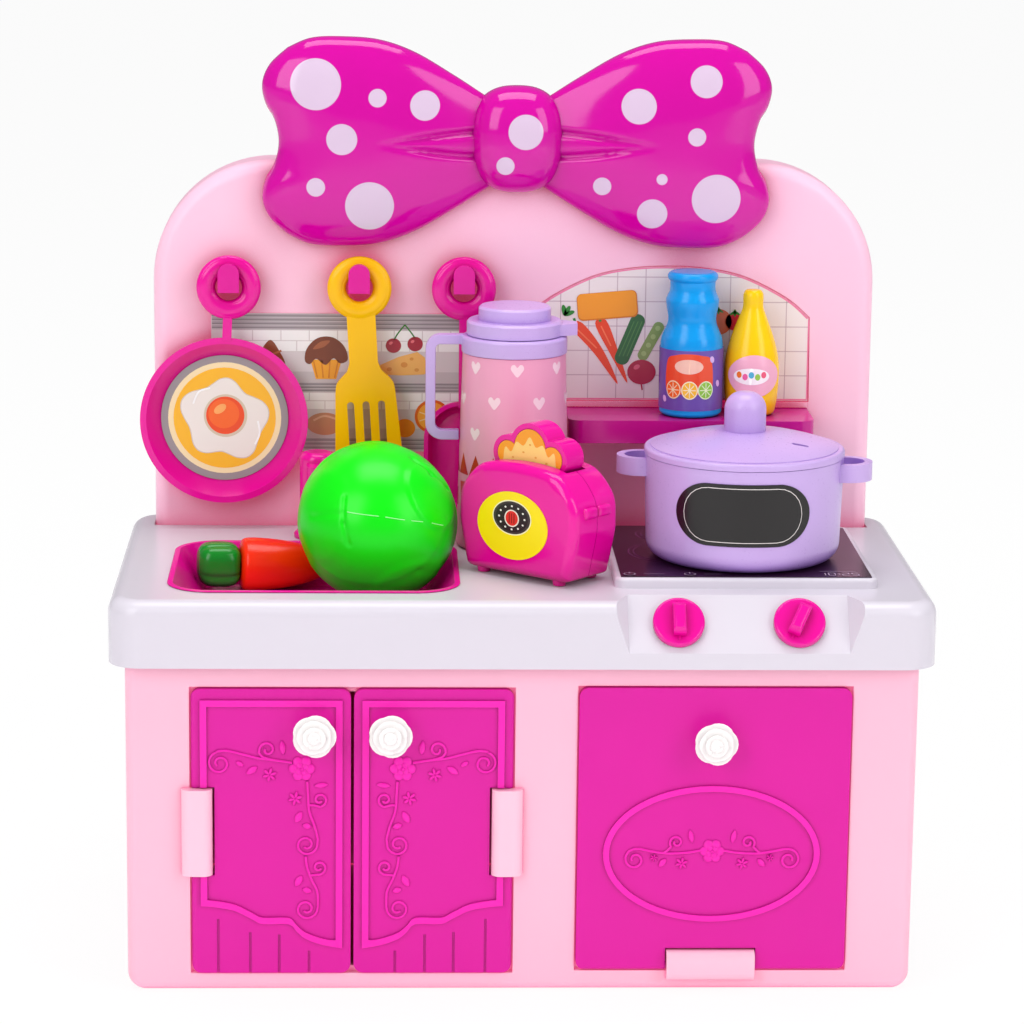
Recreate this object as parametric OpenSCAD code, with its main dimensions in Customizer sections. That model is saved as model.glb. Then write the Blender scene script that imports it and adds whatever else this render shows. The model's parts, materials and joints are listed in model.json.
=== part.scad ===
// Tabletop play kitchen with a cupboard, an oven, a sink, a hob and a set of play pieces.
// X runs to the right, Y to the back and Z up. The origin is the middle of the underside.

/* [Worktop] */
// Width of the worktop over its skirt
worktop_w = 270; // [268:1:274]
// Depth of the worktop over its skirt
worktop_d = 140; // [139:1:144]
// Height of the worktop's top face above the table
worktop_z = 133; // [131:1:136]
// Height of the skirt round the worktop
skirt_h = 22; // [20:0.5:24]
// Radius of the worktop's corners, seen from above
worktop_corner_r = 11; // [8:0.5:13]
// Rounding along the worktop's top edge
worktop_edge_r = 5; // [3.5:0.5:6]
// Wall of the worktop moulding
worktop_wall = 2.5; // [2.2:0.1:2.8]

/* [Hob plateau and control panel] */
// Left end of the hob plateau
plateau_x0 = 30.4; // [30:0.2:32]
// Width of the hob plateau
plateau_w = 87; // [84:1:88]
// Front edge of the plateau, behind the worktop's front
plateau_front = 21.5; // [21:0.5:23]
// Depth of the plateau
plateau_d = 82.5; // [80:0.5:83]
// Height of the plateau above the worktop
plateau_h = 3.4; // [2.6:0.2:4]
// Middle of the control panel
control_x = 69.9; // [69:0.5:71]
// Width of the sloped control panel
control_w = 72; // [68:1:74]
// Height of the control panel along its slope
control_slant = 21; // [20:0.5:22]
// Slope of the control panel from the horizontal
control_tilt = 52; // [50:1:54]
// Lean of the control recess's end walls
control_lean = 28; // [22:1:32]
// Distance between the two hob knobs
knob_pitch = 39.4; // [38:0.2:41]
// Radius of a hob knob
knob_r = 8.5; // [8:0.1:9]
// Thickness of a hob knob's disc
knob_t = 2.6; // [2:0.1:3]
// Height of a knob's bar above its disc
knob_bar_h = 4; // [3:0.2:5]
// Radius of a knob's shaft
knob_shaft_r = 2.5; // [2:0.1:3]

/* [Sink and tap] */
// Middle of the sink, from the kitchen's middle plane
sink_x = -68.65; // [-69:0.05:-68]
// Width of the sink over its flange
sink_w = 96.7; // [94:0.1:98]
// Front of the sink's flange, behind the worktop's front
sink_front = 13.3; // [12.5:0.1:14]
// Depth of the sink from front to back, over its flange
sink_l = 77.3; // [75:0.1:77.5]
// Depth of the sink below the worktop
sink_deep = 13; // [12.6:0.1:13.4]
// Width of the sloping wall inside the sink
sink_slope = 7.5; // [6.5:0.5:8]
// Wall of the sink moulding
sink_wall = 1.6; // [1.2:0.1:1.8]
// Distance of the tap behind the worktop's front
tap_back = 99.5; // [99.3:0.1:99.8]
// Radius of the tap's column
tap_r = 6.2; // [5.8:0.1:6.3]
// Height of the tap above the worktop
tap_h = 30.3; // [28:0.1:31]
// Reach of the spout from the tap's axis
spout_reach = 13.5; // [12:0.1:13.8]

/* [Cabinet] */
// Inset of the cabinet's sides under the worktop
cabinet_side_inset = 5.4; // [4.8:0.1:6]
// Inset of the cabinet's front and back under the worktop
cabinet_front_inset = 5; // [4.4:0.1:5.4]
// Side and top walls of the cabinet
cabinet_wall = 2.5; // [2:0.1:3]
// Front wall of the cabinet, with the ledges that the doors close against
front_wall = 5; // [4.6:0.1:5.6]
// Floor of the cabinet
floor_t = 3; // [2.4:0.1:3.6]
// Radius of the cabinet's corners, seen from the front
cabinet_corner_r = 6; // [5:0.5:7]
// Rounding of the cabinet's front edges
cabinet_edge_r = 3; // [2:0.25:3.5]
// Middle of the wall between cupboard and oven
divider_x = 7.6; // [7:0.1:8.2]
// Thickness of that wall
divider_t = 2.2; // [1.8:0.1:2.6]
// Thickness of the cabinet's rear cover
rear_cover_t = 2.2; // [1.8:0.1:2.6]

/* [Doors] */
// Thickness of every door
door_t = 3; // [2.8:0.1:3.2]
// How far the doors stand proud of the cabinet
door_proud = 1; // [0.8:0.1:1.2]
// Gap round each door
door_gap = 0.4; // [0.3:0.05:0.6]
// Gap between the two cupboard doors
pair_gap = 1; // [0.8:0.1:1.4]
// Outer edge of the left cupboard door
cupboard_x0 = -108.3; // [-109:0.1:-107.5]
// Width of a cupboard door
cupboard_w = 52.15; // [51:0.05:52.5]
// Height of a cupboard door
cupboard_h = 96.7; // [95:0.1:97.5]
// Height of the cupboard doors' lower edge above the table
cupboard_z0 = 6.5; // [6:0.1:7]
// Left edge of the oven door
oven_x0 = 18.3; // [17.5:0.1:19]
// Width of the oven door
oven_w = 89.2; // [88:0.1:90]
// Height of the oven door
oven_h = 96.5; // [95:0.1:97]
// Height of the oven door's lower edge above the table
oven_z0 = 7.3; // [7:0.1:7.6]
// Thickness of the raised panel on the oven door's inner side
oven_pad_t = 1.6; // [1.4:0.1:2]
// Width of the ledge that a door closes against
door_ledge = 2; // [1.6:0.1:2.4]
// Radius of a door's hinge pin
pin_r = 1.2; // [1.1:0.05:1.3]
// Running clearance of pins and shafts in their bores
run = 0.05; // [0.03:0.01:0.08]
// Length of a hinge cap
cap_l = 29.2; // [27:0.2:31]
// Height of the side caps' lower end above the table
cap_z0 = 40.5; // [38:0.5:43]
// Height of a cupboard door's knob above the table
rose_z = 89.2; // [88:0.1:91]
// Distance of a cupboard door's knob from its hinge
rose_reach = 39.1; // [38:0.1:40]
// Height of the oven door's knob above the table
oven_rose_z = 86.8; // [85:0.1:89]
// Radius of a rose knob
rose_r = 7.1; // [6.5:0.1:7.5]
// How far a rose knob stands out from its door
rose_h = 11; // [10:0.1:12]

/* [Back panel] */
// Width of the back panel
panel_w = 252.4; // [250:0.2:253]
// Height of the panel's top above the table
panel_top = 262.3; // [260:0.1:264]
// Thickness of the panel
panel_t = 17; // [16:0.2:17.6]
// Worktop left behind the panel
panel_rear_gap = 5.2; // [5:0.1:5.8]
// Radius of the panel's upper corners
panel_corner_r = 42; // [38:0.5:44]
// Rounding of the panel's front edge
panel_edge_r = 5; // [4:0.25:6]
// Wall of the panel moulding
panel_wall = 2.5; // [2.2:0.1:2.8]
// Depth of the seat that takes the panel's foot
panel_seat = 1.2; // [0.8:0.1:1.4]
// Height of the bow's middle above the table
bow_z = 269.2; // [268:0.1:271]
// Half the width of the bow
bow_half_w = 88; // [86:0.2:90]
// Half the height of the bow
bow_half_h = 36.3; // [35.5:0.1:37]
// How far the bow's lobes swell out
bow_crown = 10; // [8:0.2:11]
// How far the bow's knot stands out
knot_crown = 14; // [12:0.2:15]
// Height of the hooks above the table
hook_z = 220.1; // [219:0.1:221]
// Radius of a hook's neck
hook_r = 3; // [2.6:0.1:3.2]
// Positions of the three hooks
hook_x = [-99.6, -54.4, -18];
// Left end of the shelf
shelf_x0 = 18; // [17.9:0.1:19]
// Right end of the shelf
shelf_x1 = 103.6; // [102:0.1:105]
// Height of the shelf's top above the table
shelf_z = 176.1; // [175:0.1:177]
// Depth of the shelf
shelf_d = 26.3; // [25.8:0.1:26.6]
// Height of the shelf's front lip
shelf_lip = 8; // [6:0.1:9]

/* [Hanging utensils] */
// Outer radius of a utensil's ring
ring_r = 11.2; // [10.6:0.1:11.4]
// Radius of the hole in the ring
ring_hole_r = 4.6; // [4.4:0.1:4.9]
// Radius of the frying pan
pan_r = 29.3; // [28:0.1:30]
// Depth of the frying pan
pan_deep = 7.4; // [6.6:0.1:7.6]
// Distance from the pan's ring to the pan's middle
pan_drop = 46.9; // [46:0.1:48]
// Lean of the hanging pan
pan_lean = 2.2; // [0:0.1:3]
// Lean of the hanging spatula
spatula_lean = -3.4; // [-4:0.1:0]
// Length of the spatula below its ring
spatula_l = 66; // [60:0.5:68]
// Width of the spatula's blade
spatula_w = 21; // [20:0.1:22]
// Radius of the spoon's bowl
spoon_r = 13.6; // [13:0.1:14]
// Length of the spoon's bowl
spoon_l = 40; // [36:0.5:42]

/* [Pot] */
// Middle of the pot, across
pot_x = 75.4; // [75:0.1:76]
// Middle of the pot, behind the worktop's front
pot_back = 55.5; // [54.5:0.1:56]
// Radius of the pot at its rim
pot_r = 33.5; // [33:0.1:33.8]
// Height of the pot
pot_h = 35; // [34:0.1:36]
// Wall of the pot
pot_wall = 1.8; // [1.5:0.1:2]
// Turn of the pot's handles
pot_turn = -8.5; // [-10:0.5:-6]
// Reach of a handle from the pot's axis
handle_reach = 43; // [42:0.1:43.6]

/* [Jug] */
// Middle of the jug, across
jug_x = -1.1; // [-1.4:0.1:-0.9]
// Middle of the jug, behind the worktop's front
jug_back = 88; // [87.8:0.1:88.4]
// Radius of the jug at its base
jug_base_r = 19.5; // [19.2:0.1:19.7]
// Radius of the jug at its collar
jug_top_r = 17.7; // [17.4:0.1:17.8]
// Height of the jug's body
jug_h = 67.5; // [66:0.1:69]
// Wall of the jug
jug_wall = 1.6; // [1.4:0.1:1.8]

/* [Toaster] */
// Middle of the toaster, across
toaster_x = 5.5; // [5.2:0.1:5.6]
// Middle of the toaster, behind the worktop's front
toaster_back = 42.4; // [42.2:0.1:42.8]
// Turn of the toaster
toaster_turn = -41; // [-42:0.5:-40]
// Width of the toaster
toaster_w = 50; // [49:0.1:50.2]
// Thickness of the toaster from front to back
toaster_d = 24.4; // [23.6:0.1:24.6]
// Height of the toaster
toaster_h = 39; // [38:0.1:40]
// Thickness of the toast
toast_t = 9.4; // [9:0.1:9.8]
// Width of the toast
toast_w = 31; // [29:0.1:32]

/* [Bottles and vegetables] */
// Position of the blue bottle along the shelf
blue_x = 61.3; // [60.8:0.1:61.5]
// Radius of the blue bottle
blue_r = 10.9; // [10.4:0.1:11]
// Height of the blue bottle
blue_h = 50; // [48:0.5:51]
// Position of the yellow bottle along the shelf
yellow_x = 82.6; // [82.4:0.1:83]
// Radius of the yellow bottle
yellow_r = 9.6; // [9.2:0.1:9.7]
// Height of the yellow bottle
yellow_h = 43.5; // [42:0.5:45]
// Radius of the cabbage
cabbage_r = 28.2; // [27.4:0.1:28.4]
// Radius of the carrot at its shoulder
carrot_r = 9.1; // [8.6:0.1:9.2]
// Length of the carrot without its top
carrot_l = 33; // [30:0.5:34]

/* [Hidden] */
$fn = 64;

pink = "#F9BDD5";
pale_pink = "#FCC9DC";
magenta = "#E02AAF";
deep_magenta = "#E000A8";
lavender = "#B996E6";

seat = 0.2;        // gap under a piece that only stands on another
fit = 0.3;         // gap of parts that slide into each other
cut = 1;           // how far a cutter runs past a face
print_t = 0.3;     // thickness of a printed sticker
screw_head_r = 2.8;
screw_head_h = 1.6;
screw_r = 1.1;
boss_r = 3.6;

front_y = -worktop_d/2;
cab_w = worktop_w - 2*cabinet_side_inset;
cab_d = worktop_d - 2*cabinet_front_inset;
cab_h = worktop_z - worktop_wall;
cab_front = -cab_d/2;
skirt_z = worktop_z - skirt_h;
plateau_x = plateau_x0 + plateau_w/2;
plateau_y = front_y + plateau_front + plateau_d/2;
plateau_z = worktop_z + plateau_h;
hob_z = plateau_z + print_t;

control_y = front_y + control_slant*cos(control_tilt)/2;
control_z = worktop_z - control_slant*sin(control_tilt)/2;
shaft_l = 9;

sink_y = front_y + sink_front + sink_l/2;
sink_r = 15;
sink_lip = 1.4;
sink_lip_h = 0.6;
sink_floor_z = worktop_z - sink_deep;
tap_y = front_y + tap_back;
tap_stem_r = 3;
collar_r = 8.2;
collar_h = 2.4;

panel_y = worktop_d/2 - panel_rear_gap - panel_t;
panel_z0 = worktop_z - panel_seat;
panel_back_y = panel_y + panel_t;
tab_w = 30;
tab_t = 5;
tab_l = 12;
tab_x = 78;
cover_t = 2;
ledge_t = 0.8;      // how far the ledge over the shelf stands out
panel_boss_x = 96;
panel_boss_z = [152, 236];
bow_rim = 2.4;      // thickness of the bow's flat edge
rear_boss_x = cab_w/2 - cabinet_wall - boss_r - 1;
rear_boss_z = [floor_t + boss_r + 1, 108];
rear_boss_l = 12;

hinge_y = cab_front - door_proud + door_t/2;
ledge_y = hinge_y + door_t/2 + 0.25;
cap_out = 4.7;
cap_in = 5.5;
cap_front = 4.6;
cap_clear = 0.65;
frame_h = 0.8;
frame_w = 2.2;
oven_axis_z = oven_z0 + door_t/2;
oven_mid_x = oven_x0 + oven_w/2;
cupboard_x1 = cupboard_x0 + 2*cupboard_w + pair_gap;

ring_t = 3;
ring_y = panel_y - 6.8;
ring_z = hook_z - (ring_hole_r - hook_r - fit);
hook_tab_w = 7.4;
rod_w = 3.2;

pot_y = front_y + pot_back;
pot_z = hob_z + seat;
pot_rim_z = pot_z + pot_h;
jug_y = front_y + jug_back;
jug_z = worktop_z + seat;
jug_rim_z = jug_z + jug_h;
toaster_y = front_y + toaster_back;
toaster_z = worktop_z + seat;
toaster_foot_h = 1.4;
toaster_wall = 1.8;
toaster_corner_r = 4;
toast_lift = 6;     // height of the slice over the toaster's base
toast_rim = 1.8;
shelf_y0 = panel_y - shelf_d;
bottle_z = shelf_z + seat;
bottle_gap = 1.3;   // from a bottle to the panel, clear of the panel's ledge
blue_y = panel_y - blue_r - bottle_gap;
yellow_y = panel_y - yellow_r - bottle_gap;
cabbage_x = -47.9;
cabbage_y = front_y + 58;
cabbage_core = cabbage_r - 1;
cabbage_z = sink_floor_z + cabbage_core + seat;
carrot_x = -94.8;
carrot_y = front_y + 72;
carrot_z = sink_floor_z + carrot_r + seat;
carrot_turn = 10;
carrot_dip = 2;
leaf_r = 7.8;
leaf_l = 14.5;

// A flat rectangle with round corners.
module rrect(w, d, r) {
    square([w - 2*r, d], center = true);
    square([w, d - 2*r], center = true);
    for (x = [-1, 1], y = [-1, 1])
        translate([x*(w/2 - r), y*(d/2 - r)]) circle(r);
}

// The side view of a slab whose two upper edges are round.
module soft_side(w, h, r) {
    translate([-w/2, 0]) square([w, h - r]);
    translate([-w/2 + r, 0]) square([w - 2*r, h]);
    for (x = [-1, 1]) translate([x*(w/2 - r), h - r]) circle(r);
}

// Half the section of a round body whose upper edge is round.
module soft_half(r, h, er) {
    square([r, h - er]);
    square([r - er, h]);
    intersection() {
        translate([r - er, h - er]) circle(er);
        translate([r - er, h - er]) square(er);
    }
}

// A slab with round corners of radius cr and a top edge rounded to er.
module soft_slab(w, d, h, cr, er) {
    translate([w/2 - cr, 0, 0]) rotate([90, 0, -90]) linear_extrude(w - 2*cr) soft_side(d, h, er);
    translate([0, d/2 - cr, 0]) rotate([90, 0, 0]) linear_extrude(d - 2*cr) soft_side(w, h, er);
    for (x = [-1, 1], y = [-1, 1])
        translate([x*(w/2 - cr), y*(d/2 - cr), 0]) rotate_extrude() soft_half(cr, h, er);
}

// A slab whose side follows a profile of [inset, height] points, from the bottom up.
module profiled_slab(w, d, cr, side) {
    last = len(side) - 1;
    module across(half) {
        polygon(concat([for (p = side) [half - p[0], p[1]]],
            [for (i = [last:-1:0]) [-(half - side[i][0]), side[i][1]]]));
    }
    translate([w/2 - cr, 0, 0]) rotate([90, 0, -90]) linear_extrude(w - 2*cr) across(d/2);
    translate([0, d/2 - cr, 0]) rotate([90, 0, 0]) linear_extrude(d - 2*cr) across(w/2);
    for (x = [-1, 1], y = [-1, 1])
        translate([x*(w/2 - cr), y*(d/2 - cr), 0]) rotate_extrude()
            polygon(concat([[0, side[0][1]]], [for (p = side) [cr - p[0], p[1]]], [[0, side[last][1]]]));
}

// A smooth curve through a list of points, with some steps between two of them.
function bend(a, b, c, d, t) = 0.5*((2*b) + (c - a)*t + (2*a - 5*b + 4*c - d)*t*t
    + (3*b - a - 3*c + d)*t*t*t);
function through(p, steps) = [for (i = [0:len(p) - 2], s = [0:steps - 1])
    bend(p[max(i - 1, 0)], p[i], p[i + 1], p[min(i + 2, len(p) - 1)], s/steps), p[len(p) - 1]];
function flip(p) = [for (i = [len(p) - 1:-1:0]) [p[i][0], -p[i][1]]];
function oval(rx, ry, n) = [for (i = [0:n - 1]) [rx*cos(360*i/n), ry*sin(360*i/n)]];

// Worktop

module on_control() {
    translate([control_x, control_y, control_z]) rotate([control_tilt, 0, 0]) children();
}

// The sloped recess, grown inwards by some wall.
module control_cut(grow) {
    half = control_w/2 + grow;
    mouth = 16;
    spread = mouth*tan(control_lean);
    on_control() translate([0, control_slant/2 + grow, -grow]) rotate([90, 0, 0])
        linear_extrude(control_slant + 2*grow)
            polygon([[-half, 0], [half, 0], [half + spread, mouth], [-half - spread, mouth]]);
}

module knob_places() {
    on_control() for (x = [-1, 1]) translate([x*knob_pitch/2, 0, 0]) children();
}

module sink_hole(grow) {
    translate([sink_x, sink_y, worktop_z - worktop_wall - cut])
        linear_extrude(worktop_wall + 2*cut)
            rrect(sink_w - 2*(sink_lip - grow), sink_l - 2*(sink_lip - grow), sink_r - sink_lip + grow);
}

module panel_tabs(grow) {
    for (x = [-1, 1])
        translate([x*tab_x - tab_w/2 - grow, panel_y + panel_wall - grow, panel_z0 - tab_l])
            cube([tab_w + 2*grow, tab_t + 2*grow, tab_l + panel_seat]);
}

module worktop_hollow() {
    difference() {
        translate([0, 0, skirt_z - cut])
            soft_slab(worktop_w - 2*worktop_wall, worktop_d - 2*worktop_wall, skirt_h - worktop_wall + cut,
                worktop_corner_r - worktop_wall, worktop_edge_r - worktop_wall);
        control_cut(worktop_wall);
    }
    translate([plateau_x, plateau_y, worktop_z - worktop_wall - cut])
        linear_extrude(plateau_h + cut)
            rrect(plateau_w - 2*worktop_wall, plateau_d - 2*worktop_wall, 2);
}

module worktop() {
    color("#E6E1EA") difference() {
        union() {
            translate([0, 0, skirt_z])
                soft_slab(worktop_w, worktop_d, skirt_h, worktop_corner_r, worktop_edge_r);
            translate([plateau_x, plateau_y, worktop_z - 1])
                soft_slab(plateau_w, plateau_d, plateau_h + 1, 4, 1.2);
        }
        worktop_hollow();
        control_cut(0);
        sink_hole(0.15);
        translate([0, panel_y + panel_t/2, worktop_z]) cube([panel_w + 0.6, panel_t + 0.6, 2*panel_seat],
            center = true);
        panel_tabs(fit);
        translate([sink_x, tap_y, worktop_z - worktop_wall - cut])
            cylinder(r = tap_stem_r + run, h = worktop_wall + 2*cut);
        knob_places() translate([0, 0, -worktop_wall - cut])
            cylinder(r = knob_shaft_r + run, h = worktop_wall + 2*cut);
    }
}

module hob_sticker() {
    margin = 1.3;
    corner = 3;
    w = plateau_w - 2*margin - 1.4;
    d = plateau_d - 2*margin - 1.4;
    color("#2A0A24") translate([plateau_x, plateau_y, plateau_z]) linear_extrude(print_t)
        polygon([[-w/2, -d/2], [w/2, -d/2], [w/2, d/2 - corner], [w/2 - corner, d/2], [-w/2, d/2]]);
}

module hob_knob(turn) {
    bar_w = 4.2;
    bar_l = 11;
    groove_r = knob_r - 1.6;
    color(deep_magenta) rotate([0, 0, turn]) {
        translate([0, 0, fit]) rotate_extrude() soft_half(knob_r, knob_t, 1);
        translate([0, 0, fit + knob_t]) difference() {
            translate([0, bar_l/2, 0]) rotate([90, 0, 0]) linear_extrude(bar_l)
                soft_side(bar_w, knob_bar_h, 1.2);
            for (y = [-1, 1]) translate([0, y*(bar_l/2 + 1.2), knob_bar_h + 1.2]) rotate([0, 90, 0])
                cylinder(r = 3, h = bar_w + 2*cut, center = true);
        }
        for (y = [-1, 1]) translate([0, y*(bar_l/2 + groove_r)/2, fit + knob_t])
            cube([0.8, groove_r - bar_l/2, 0.6], center = true);
        translate([0, 0, -shaft_l + fit]) cylinder(r = knob_shaft_r, h = shaft_l);
        translate([0, 0, -worktop_wall - 0.4 - 2]) cylinder(r1 = knob_shaft_r - 0.4,
            r2 = knob_shaft_r + 0.7, h = 2);
    }
}

module hob_knob_left() {
    on_control() translate([-knob_pitch/2, 0, 0]) hob_knob(0);
}

module hob_knob_right() {
    on_control() translate([knob_pitch/2, 0, 0]) hob_knob(-25);
}

// Sink and tap

module sink_basin() {
    low = sink_floor_z - sink_wall;
    outer = [[sink_lip + sink_slope + 0.4, low], [sink_lip + 0.2, worktop_z],
        [0.4, worktop_z], [0, worktop_z + 0.3], [0.3, worktop_z + sink_lip_h]];
    inner = [[sink_lip + sink_slope + sink_wall, sink_floor_z],
        [sink_lip + sink_wall - 1, worktop_z + sink_lip_h],
        [sink_lip + sink_wall - 1, worktop_z + sink_lip_h + cut]];
    color(magenta) translate([sink_x, sink_y, 0]) difference() {
        profiled_slab(sink_w, sink_l, sink_r, outer);
        profiled_slab(sink_w, sink_l, sink_r, inner);
    }
}

module tap_collar() {
    color(magenta) translate([sink_x, tap_y, worktop_z]) rotate_extrude()
        polygon([[tap_stem_r + run, 0], [collar_r, 0], [collar_r, collar_h - 1],
            [collar_r - 1, collar_h], [tap_stem_r + run, collar_h]]);
}

module tap() {
    spout_w = 7;
    spout_t = 5;
    spout_z = 22;
    tip_r = spout_w/2;
    bottom = collar_h + fit;
    color(magenta) translate([sink_x, tap_y, worktop_z]) {
        difference() {
            union() {
                translate([0, 0, bottom]) rotate_extrude() soft_half(tap_r, tap_h - bottom, 2.6);
                translate([-spout_w/2, -spout_reach + tip_r, spout_z])
                    cube([spout_w, spout_reach - tip_r, spout_t]);
                translate([0, -spout_reach + tip_r, spout_z - 2.4]) cylinder(r = tip_r, h = spout_t + 2.4);
            }
            translate([0, -spout_reach + tip_r, spout_z - 2.4 - cut]) cylinder(r = 2, h = 4);
        }
        translate([0, 0, -worktop_wall - 3.4]) cylinder(r = tap_stem_r, h = worktop_wall + 3.4 + bottom);
        translate([0, 0, -worktop_wall - 3.4]) cylinder(r1 = tap_stem_r, r2 = tap_stem_r + 0.9, h = 3);
    }
}

// Cabinet

module door_hole(x0, x1, z0, z1) {
    translate([x0 - door_gap, cab_front - cut, z0 - door_gap])
        cube([x1 - x0 + 2*door_gap, ledge_y - cab_front + cut, z1 - z0 + 2*door_gap]);
    translate([x0 - door_gap + door_ledge, cab_front, z0 - door_gap + door_ledge])
        cube([x1 - x0 + 2*(door_gap - door_ledge), front_wall + cut, z1 - z0 + 2*(door_gap - door_ledge)]);
}

module rear_bosses() {
    for (x = [-1, 1], z = rear_boss_z) translate([x*rear_boss_x, cab_d/2 - rear_cover_t - 0.8, z])
        rotate([90, 0, 0]) children();
}

module cabinet_body() {
    rim = 9;
    control_half = control_w/2 + worktop_wall + 3;
    color(pink) difference() {
        union() {
            difference() {
                translate([0, cab_d/2, cab_h/2]) rotate([90, 0, 0])
                    soft_slab(cab_w, cab_h, cab_d, cabinet_corner_r, cabinet_edge_r);
                translate([0, cab_d/2 + cut, (floor_t + cab_h - cabinet_wall)/2]) rotate([90, 0, 0])
                    linear_extrude(cab_d - front_wall + cut)
                        rrect(cab_w - 2*cabinet_wall, cab_h - floor_t - cabinet_wall,
                            cabinet_corner_r - cabinet_wall);
            }
            for (s = [-1, 1], z = rear_boss_z) {
                translate([s*rear_boss_x, cab_d/2 - rear_cover_t - 0.8, z]) rotate([90, 0, 0])
                    cylinder(r = boss_r, h = rear_boss_l);
                translate([s*(rear_boss_x + boss_r/2 + 1.4), cab_d/2 - rear_cover_t - 0.8 - rear_boss_l/2, z])
                    cube([boss_r + 2.8, rear_boss_l, 1.6], center = true);
            }
        }
        rear_bosses() translate([0, 0, -cut]) cylinder(r = screw_r + run, h = rear_boss_l);
        translate([-cab_w/2 + rim, cab_front + rim, cab_h - cabinet_wall - cut])
            cube([cab_w - 2*rim, cab_d - 2*rim, cabinet_wall + 2*cut]);
        translate([control_x - control_half, cab_front - cut, skirt_z + 3])
            cube([2*control_half, rim + 2*cut, cab_h]);
        door_hole(cupboard_x0, cupboard_x1, cupboard_z0, cupboard_z0 + cupboard_h);
        door_hole(oven_x0, oven_x0 + oven_w, oven_z0, oven_z0 + oven_h);
    }
}

module cabinet_back() {
    margin = cabinet_wall + fit;
    h = cab_h - floor_t - cabinet_wall - 2*fit;
    color(pink) difference() {
        translate([0, cab_d/2 - 0.8, (floor_t + cab_h - cabinet_wall)/2]) rotate([90, 0, 0]) {
            linear_extrude(rear_cover_t) rrect(cab_w - 2*margin, h, cabinet_corner_r - margin);
            translate([0, 0, -0.8]) linear_extrude(0.8) difference() {
                rrect(cab_w - 50, h - 40, 6);
                rrect(cab_w - 56, h - 46, 4);
            }
        }
        for (x = [-1, 1], z = rear_boss_z) translate([x*rear_boss_x, cab_d/2 + cut, z]) rotate([90, 0, 0])
            cylinder(r = screw_r + 0.3, h = rear_cover_t + 4);
    }
}

module divider_wall() {
    y0 = cab_front + front_wall;
    y1 = cab_d/2 - rear_cover_t - 0.8;
    color(pink) translate([divider_x - divider_t/2, y0, floor_t])
        difference() {
            cube([divider_t, y1 - y0, sink_floor_z - sink_wall - 3 - floor_t]);
            translate([-cut, (y1 - y0)/2, (sink_floor_z - floor_t)/2]) rotate([0, 90, 0])
                cylinder(r = 9, h = divider_t + 2*cut);
        }
}

// Back panel

// Anything drawn flat in X and Z, made solid towards the front from a plane at y.
module standing(y, t) {
    translate([0, y, 0]) rotate([90, 0, 0]) linear_extrude(t) children();
}

module panel_shape(w, h, cr) {
    translate([0, h/2]) rrect(w, h, cr);
}

module tile_outline(grow) {
    mid = 54;
    base = 178.6;
    arch = through([[-50, 29], [-41.5, 36.2], [-27, 43.6], [-14, 46.6], [0, 47.4],
        [14, 46.6], [27, 43.6], [41.5, 36.2], [49.4, 29.4]], 4);
    side = concat([[49.8, 0]], [for (i = [len(arch) - 1:-1:0]) arch[i]], [[-50, 0]]);
    translate([mid, base]) polygon([for (p = side) [p[0]*(1 + grow/50), p[1] + (p[1] > 1 ? grow : -grow)]]);
}

module panel_bosses() {
    for (x = [-1, 1], z = panel_boss_z) translate([x*panel_boss_x, panel_back_y - cover_t - 0.6, z])
        rotate([90, 0, 0]) children();
}

module hook_places() {
    for (x = hook_x) translate([x, panel_y, hook_z]) rotate([90, 0, 0]) children();
}

module back_panel() {
    tall = panel_top - panel_z0 + panel_corner_r;
    depth = panel_t - panel_wall;
    color(pink) difference() {
        union() {
            difference() {
                translate([0, panel_back_y, panel_top - tall/2]) rotate([90, 0, 0])
                    soft_slab(panel_w, tall, panel_t, panel_corner_r, panel_edge_r);
                translate([0, panel_back_y + cut, panel_top - tall/2]) rotate([90, 0, 0])
                    soft_slab(panel_w - 2*panel_wall, tall - 2*panel_wall, depth + cut,
                        panel_corner_r - panel_wall, panel_edge_r - panel_wall);
            }
            translate([-panel_w/2 + panel_wall, panel_y + panel_wall, panel_z0])
                cube([panel_w - 2*panel_wall, depth - cover_t - 0.6, panel_wall]);
            panel_bosses() cylinder(r = boss_r, h = depth - cover_t);
            for (x = hook_x) translate([x, panel_y, hook_z]) rotate([-90, 0, 0]) cylinder(r = 5, h = 7);
            for (z = [164, 206]) translate([0, panel_y + panel_wall + 2.5, z])
                cube([panel_w - 2*panel_wall - 2, 5, 1.6], center = true);
            standing(panel_y, ledge_t) translate([(shelf_x0 + shelf_x1)/2, shelf_z + 1.3])
                square([shelf_x1 - shelf_x0, 2.2], center = true);
        }
        translate([-worktop_w/2, panel_y - cut, panel_z0 - tall]) cube([worktop_w, panel_t + 2*cut, tall]);
        panel_bosses() translate([0, 0, -cut]) cylinder(r = screw_r + run, h = 10);
        hook_places() translate([0, 0, -8]) cylinder(r = 2 + run, h = 10);
        standing(panel_y + 0.6, 0.6 + cut) tile_outline(0.4);
        shelf_pegs(run);
    }
    color(pink) panel_tabs(0);
}

module shelf_pegs(grow) {
    for (x = [shelf_x0 + 12, shelf_x1 - 12]) translate([x, panel_y + 6, shelf_z - 4]) rotate([90, 0, 0])
        cylinder(r = 2 + grow, h = 8 + (grow > 0 ? cut : 0));
}

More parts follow.
